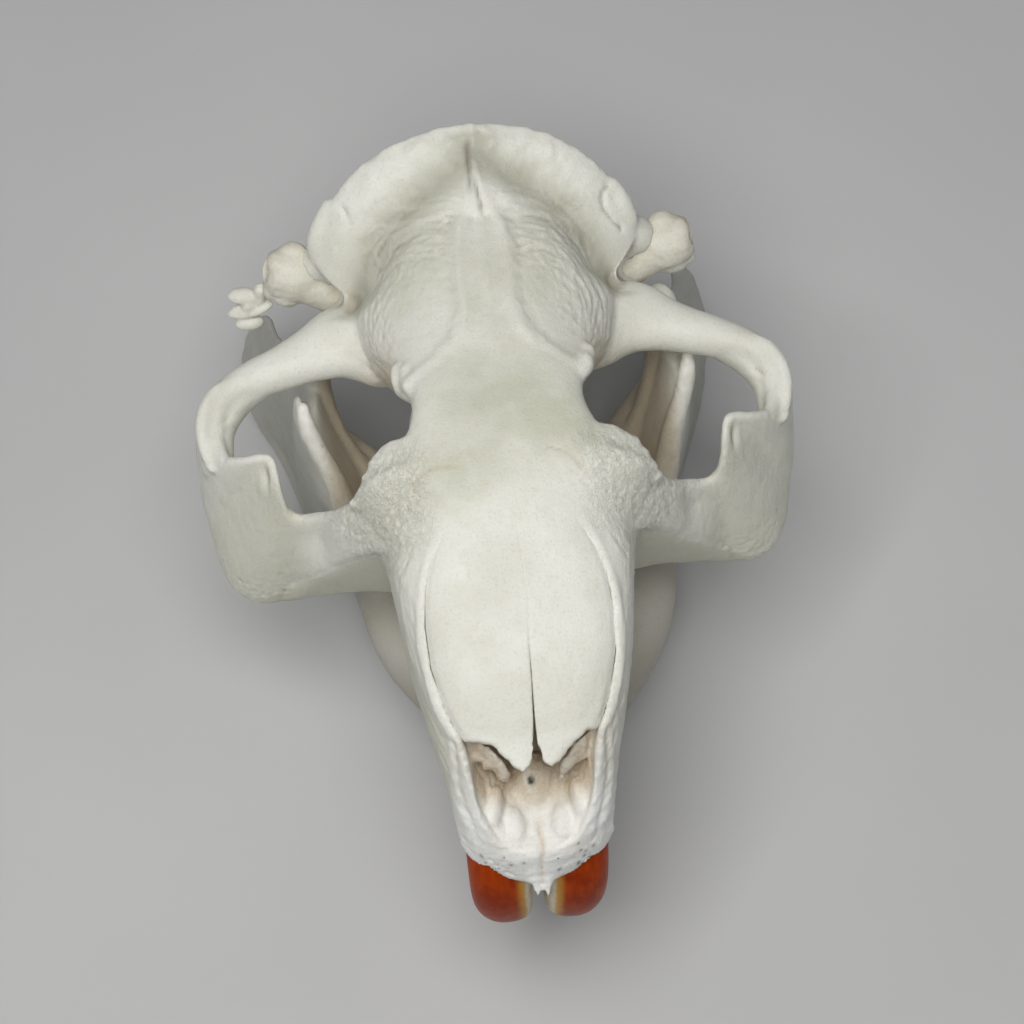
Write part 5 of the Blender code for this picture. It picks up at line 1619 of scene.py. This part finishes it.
class BeaverSkullStudio(bpy.types.PropertyGroup):
    """Floor, light and camera."""

    floor_colour: colour_entry("Floor", "Plain pale floor", (0.62, 0.622, 0.625))
    floor_size: length_entry("Floor size", "Width of the floor", 6.0, 0.5, 20.0)
    distance: length_entry("Camera distance", "From the camera to what it looks at", 0.48, 0.2, 3.0)
    target: FloatVectorProperty(name="Target", description="What the camera looks at", size=3,
                                default=(0.00088, -0.00368, 0.075), subtype="TRANSLATION")
    azimuth: angle_entry("Azimuth", "Turn of the camera about the skull", -5.5)
    elevation: angle_entry("Elevation", "Angle of the camera above the floor", 69)
    lens: FloatProperty(name="Lens", description="Focal length in millimetres", default=99.56, min=10)
    key_power: power_entry("Key light", "Power of the light overhead", 2.5)
    side_power: power_entry("Side lights", "Power of each light at the side", 0.2)
    sky: FloatProperty(name="Sky", description="Strength of the soft light all round", default=0.12,
                       min=0)


def settings():
    """The three groups of settings."""
    scene = bpy.context.scene
    return scene.beaver_skull_sizes, scene.beaver_skull_colours, scene.beaver_skull_studio


def finished(thing, material, slot, *nodes):
    """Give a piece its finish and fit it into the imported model."""
    thing.data.materials.clear()
    thing.data.materials.append(material)
    thing.data.shade_smooth()
    if nodes:
        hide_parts(*nodes)
    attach(thing, "root")


def placed(forms, side):
    """Forms drawn for the animal's left, on the side asked for."""
    return forms if side == "left" else [mirrored(form) for form in forms]


def laid_askew(thing):
    """Turn a finished piece of the lower jaw to where the jaw lies under the skull."""
    x, y, z = arrays(thing)[0].T
    y = y - JAW_PIVOT[1]
    c, s = math.cos(math.radians(JAW_YAW)), math.sin(math.radians(JAW_YAW))
    move_to(thing, np.c_[JAW_PIVOT[0] + c * x - s * y, JAW_PIVOT[1] + s * x + c * y, z])


class BEAVER_OT_skull_bone(bpy.types.Operator):
    """Cast the upper skull with its cheek arches, openings and sockets, and carve its relief"""

    bl_idname = "beaver.skull_bone"
    bl_label = "Upper Skull"

    def execute(self, context):
        sizes, colours, _ = settings()
        gap = sizes.socket_gap / MM
        cord = tube([(0, 125, 55.5, 7.6, 6.2), (0, 108, 56.5, 7.6, 6.2), (0, 94, 58, 7.0, 5.6)],
                    bulge=0.4)
        openings = [lines_loft(NOSTRIL_LINES, 1.0, 18), cord, *nasal_pocket()]
        openings += both(*ear_forms(gap), incisor(UPPER_INCISOR, gap))
        skull = cast("skull_bone", skull_forms(), sizes.skull_grid / MM, openings=openings,
                     linings=nose_linings())
        # The tint and stain masks also lay painted shade
        carve(skull, skull_relief, stain=skull_stain_and_shade, tint=skull_tint_and_shade, pores=skull_pores,
              pale=skull_pale, dark=skull_dark, cracks=skull_cracks)
        finished(skull, bone_finish("bone", colours), "bone", "rostrum", "orbital_block", "braincase",
                 "occiput", "zygomatic_arch_left", "zygomatic_arch_right")
        return {"FINISHED"}


class BEAVER_OT_nasal_bones(bpy.types.Operator):
    """Cast the two smooth nasal bones that roof the snout"""

    bl_idname = "beaver.nasal_bones"
    bl_label = "Nasal Bones"

    def execute(self, context):
        sizes, colours, _ = settings()
        material = bone_finish("nasal_bone", colours, gloss=0.4)
        for side in SIDES:
            roof = [lines_loft(SKULL_LINES, 1.0, 60), *nose_forms()]
            plan = prism(nasal_plan(side), nasal_floor, ABOVE_ALL)
            thing = cast(f"nasal_{side}_bone", roof, sizes.nasal_grid / MM,
                         first=sizes.skull_grid / MM * COARSER, within=[plan])
            carve(thing, nasal_relief, stain=thin_rim_stain, tint=nasal_tint)
            finished(thing, material, "bone", f"nasal_{side}")
        return {"FINISHED"}


class BEAVER_OT_ear_bones(bpy.types.Operator):
    """Cast both ear bones with their canals, and the scrap on the right one"""

    bl_idname = "beaver.ear_bones"
    bl_label = "Ear Bones"

    def execute(self, context):
        sizes, colours, _ = settings()
        grid = sizes.ear_grid / MM
        material = bone_finish("ear_bone", colours, warmth=0.3)
        canal = tube([(42, 101.4, 68.8, 2.4, 2.2), (33, 99.8, 64.6, 2.1, 2.0),
                      (24, 97.0, 59.0, 1.6, 1.6)], bulge=0.3)
        for side in SIDES:
            ear = cast(f"ear_bone_{side}_bulb", placed(ear_forms(), side), grid, soften=7,
                       openings=placed([canal], side))
            carve(ear, ear_relief, stain=ear_stain)
            finished(ear, material, "bone", f"ear_bone_{side}")
        scrap = cast("bone_scrap", chip_forms(), grid * 0.8, soften=3)
        carve(scrap, chip_relief)
        finished(scrap, bone_finish("bone_scrap", colours, gloss=0.5), "bone", "bone_chip_right")
        return {"FINISHED"}


class BEAVER_OT_lower_jaw(bpy.types.Operator):
    """Cast both halves of the lower jaw and lay them askew under the skull"""

    bl_idname = "beaver.lower_jaw"
    bl_label = "Lower Jaw"

    def execute(self, context):
        sizes, colours, _ = settings()
        gap = sizes.socket_gap / MM
        # The jaw's tint layer lays painted shade in this grey
        material = bone_finish("jaw_bone", colours, cast_and_shade_colour=colours.jaw_shade_grey)
        chin = prism([(-20, 0), (0.1, 0), (0.1, 62), (-20, 62)], BELOW_ALL, 60)
        floor = prism([(-90, -40), (90, -40), (90, 150), (-90, 150)], BELOW_ALL, 0)
        for side in SIDES:
            cutters = placed([incisor(LOWER_INCISOR, gap), chin, floor], side)
            forms = [(points - tucked(points) * (side == "right"), faces) for points, faces in jaw_forms()]
            jaw = cast(f"jaw_{side}", placed(forms, side), sizes.jaw_grid / MM, openings=cutters)
            carve(jaw, jaw_relief, stain=jaw_stain_and_shade, tint=jaw_painted_shade, pale=jaw_pale, dark=jaw_dark)
            laid_askew(jaw)
            finished(jaw, material, "bone", f"mandible_{side}")
        return {"FINISHED"}


class BEAVER_OT_gnawing_teeth(bpy.types.Operator):
    """Cast the four curved gnawing teeth, each worn to a chisel"""

    bl_idname = "beaver.gnawing_teeth"
    bl_label = "Gnawing Teeth"

    def execute(self, context):
        sizes, colours, _ = settings()
        material = gnawing_finish(colours)
        for level, tooth in (("upper", UPPER_INCISOR), ("lower", LOWER_INCISOR)):
            for side in SIDES:
                thing = cast(f"gnawing_tooth_{level}_{side}", placed([incisor(tooth)], side),
                             sizes.tooth_grid / MM, first=0, openings=placed([worn_away(tooth)], side))
                self.mark(thing, tooth)
                if level == "lower":
                    laid_askew(thing)
                finished(thing, material, "enamel", f"{level}_incisor_{side}")
        return {"FINISHED"}

    def mark(self, thing, tooth):
        """Note where enamel covers the tooth and where along and across it each point lies."""
        points, _, _ = arrays(thing)
        start, end = (math.radians(angle) for angle in tooth["angles"])
        y, z = tooth["centre"][0] - points[:, 1], points[:, 2] - tooth["centre"][1]
        turn = np.arctan2(z, y)
        middle, half = through(tooth["across"], (turn - start) / (end - start)).T
        out = (np.hypot(y, z) - tooth["reach"] + tooth["thick"]) / tooth["thick"]
        across = (abs(points[:, 0]) - middle) / half
        ragged_edge = 0.03 * grain(points, 1.6, 90)
        enamel = ramp(out - 0.56 + 0.22 * across + ragged_edge, -0.05, 0.05)
        enamel *= ramp(across + 0.76 + ragged_edge, -0.05, 0.07)
        note(thing, "enamel", enamel)
        note(thing, "edge", ramp(-across + ragged_edge, 0.4, 0.72))
        note(thing, "run", turn * tooth["reach"])
        note(thing, "across", across * half)


class BEAVER_OT_cheek_teeth(bpy.types.Operator):
    """Set the rows of folded cheek teeth into the skull and the jaw"""

    bl_idname = "beaver.cheek_teeth"
    bl_label = "Cheek Teeth"

    def execute(self, context):
        _, colours, _ = settings()
        material = chewing_finish(colours)
        for level, teeth in (("upper", UPPER_TEETH), ("lower", LOWER_TEETH)):
            for side in SIDES:
                row = heap(f"cheek_teeth_{level}_{side}", placed(tooth_row(**teeth), side))
                if level == "lower":
                    laid_askew(row)
                finished(row, material, "bone")
                row.data.set_sharp_from_angle(angle=math.radians(CHEWING_SHARP))
        return {"FINISHED"}


# Lights as (name, place, what each looks at, width, setting of its power, colour), in metres
LIGHTS = (
    ("key_light", (-0.07, -0.12, 0.6), (0, 0, 0.06), 0.34, "key_power", (1.0, 0.99, 0.97)),
    ("side_light", (-0.62, 0.05, 0.34), (0, 0, 0.05), 0.3, "side_power", (0.95, 0.98, 1.0)),
    ("side_light", (0.62, 0.05, 0.34), (0, 0, 0.05), 0.3, "side_power", (0.95, 0.98, 1.0)),
)
SKY_COLOUR = (0.93, 0.96, 1.0)
# The camera's sensor in millimetres, and the nearest thing it shows in metres
SENSOR_WIDTH = 36
NEAREST = 0.01


def area_light(name, place, aim, size, power, colour):
    """Square soft light that looks at a point."""
    light = bpy.data.lights.new(name, "AREA")
    light.size = size
    light.energy = power
    light.color = colour
    lamp = bpy.data.objects.new(name, light)
    lamp.location = place
    lamp.rotation_euler = (Vector(aim) - Vector(place)).to_track_quat("-Z", "Y").to_euler()
    bpy.context.scene.collection.objects.link(lamp)


class BEAVER_OT_studio(bpy.types.Operator):
    """Lay the pale floor, hang the soft lights and set up the camera above the snout"""

    bl_idname = "beaver.studio"
    bl_label = "Studio"

    def execute(self, context):
        _, _, studio = settings()
        half = studio.floor_size / 2
        data = bpy.data.meshes.new("floor")
        corners = [(-half, -half, 0), (half, -half, 0), (half, half, 0), (-half, half, 0)]
        data.from_pydata(corners, [], [(0, 1, 2, 3)])
        floor = bpy.data.objects.new("floor", data)
        floor.location.z = -FLOOR_DROP * MM
        floor.data.materials.append(floor_finish(studio.floor_colour))
        context.scene.collection.objects.link(floor)

        for name, place, aim, width, power, colour in LIGHTS:
            area_light(name, place, aim, width, getattr(studio, power), colour)
        world = bpy.data.worlds.new("soft_sky")
        world.use_nodes = True
        sky = world.node_tree.nodes["Background"]
        sky.inputs["Color"].default_value = rgba(SKY_COLOUR)
        sky.inputs["Strength"].default_value = studio.sky
        context.scene.world = world
        context.scene.view_settings.view_transform = "Standard"

        flat = math.cos(studio.elevation)
        back = Vector((math.sin(studio.azimuth) * flat, -math.cos(studio.azimuth) * flat,
                       math.sin(studio.elevation)))
        lens = bpy.data.cameras.new("camera")
        lens.lens = studio.lens
        lens.sensor_width = SENSOR_WIDTH
        lens.clip_start = NEAREST
        camera = bpy.data.objects.new("camera", lens)
        camera.location = Vector(studio.target) + back * studio.distance
        camera.rotation_euler = (-back).to_track_quat("-Z", "Y").to_euler()
        context.scene.collection.objects.link(camera)
        context.scene.camera = camera
        return {"FINISHED"}


STEPS = (BEAVER_OT_skull_bone, BEAVER_OT_nasal_bones, BEAVER_OT_ear_bones, BEAVER_OT_lower_jaw,
         BEAVER_OT_gnawing_teeth, BEAVER_OT_cheek_teeth, BEAVER_OT_studio)
GROUPS = {"beaver_skull_sizes": BeaverSkullSizes, "beaver_skull_colours": BeaverSkullColours,
          "beaver_skull_studio": BeaverSkullStudio}


class VIEW3D_PT_beaver_skull(bpy.types.Panel):
    """Buttons for each piece of the skull, and its settings"""

    bl_label = "Beaver Skull"
    bl_space_type = "VIEW_3D"
    bl_region_type = "UI"
    bl_category = "Skull"

    def draw(self, context):
        column = self.layout.column()
        for step in STEPS:
            column.operator(step.bl_idname)
        for name, group in GROUPS.items():
            column.separator()
            for key in group.__annotations__:
                column.prop(getattr(context.scene, name), key)


def register():
    """Make the settings, buttons and panel known to Blender."""
    for kind in (*GROUPS.values(), *STEPS, VIEW3D_PT_beaver_skull):
        bpy.utils.register_class(kind)
    for name, group in GROUPS.items():
        setattr(bpy.types.Scene, name, PointerProperty(type=group))


def unregister():
    """Take them away again."""
    for name in GROUPS:
        delattr(bpy.types.Scene, name)
    for kind in (VIEW3D_PT_beaver_skull, *reversed(STEPS), *GROUPS.values()):
        bpy.utils.unregister_class(kind)


def main():
    """Register the settings and build every piece."""
    register()
    for step in STEPS:
        family, name = step.bl_idname.split(".")
        getattr(getattr(bpy.ops, family), name)()


if __name__ == "__main__":
    main()
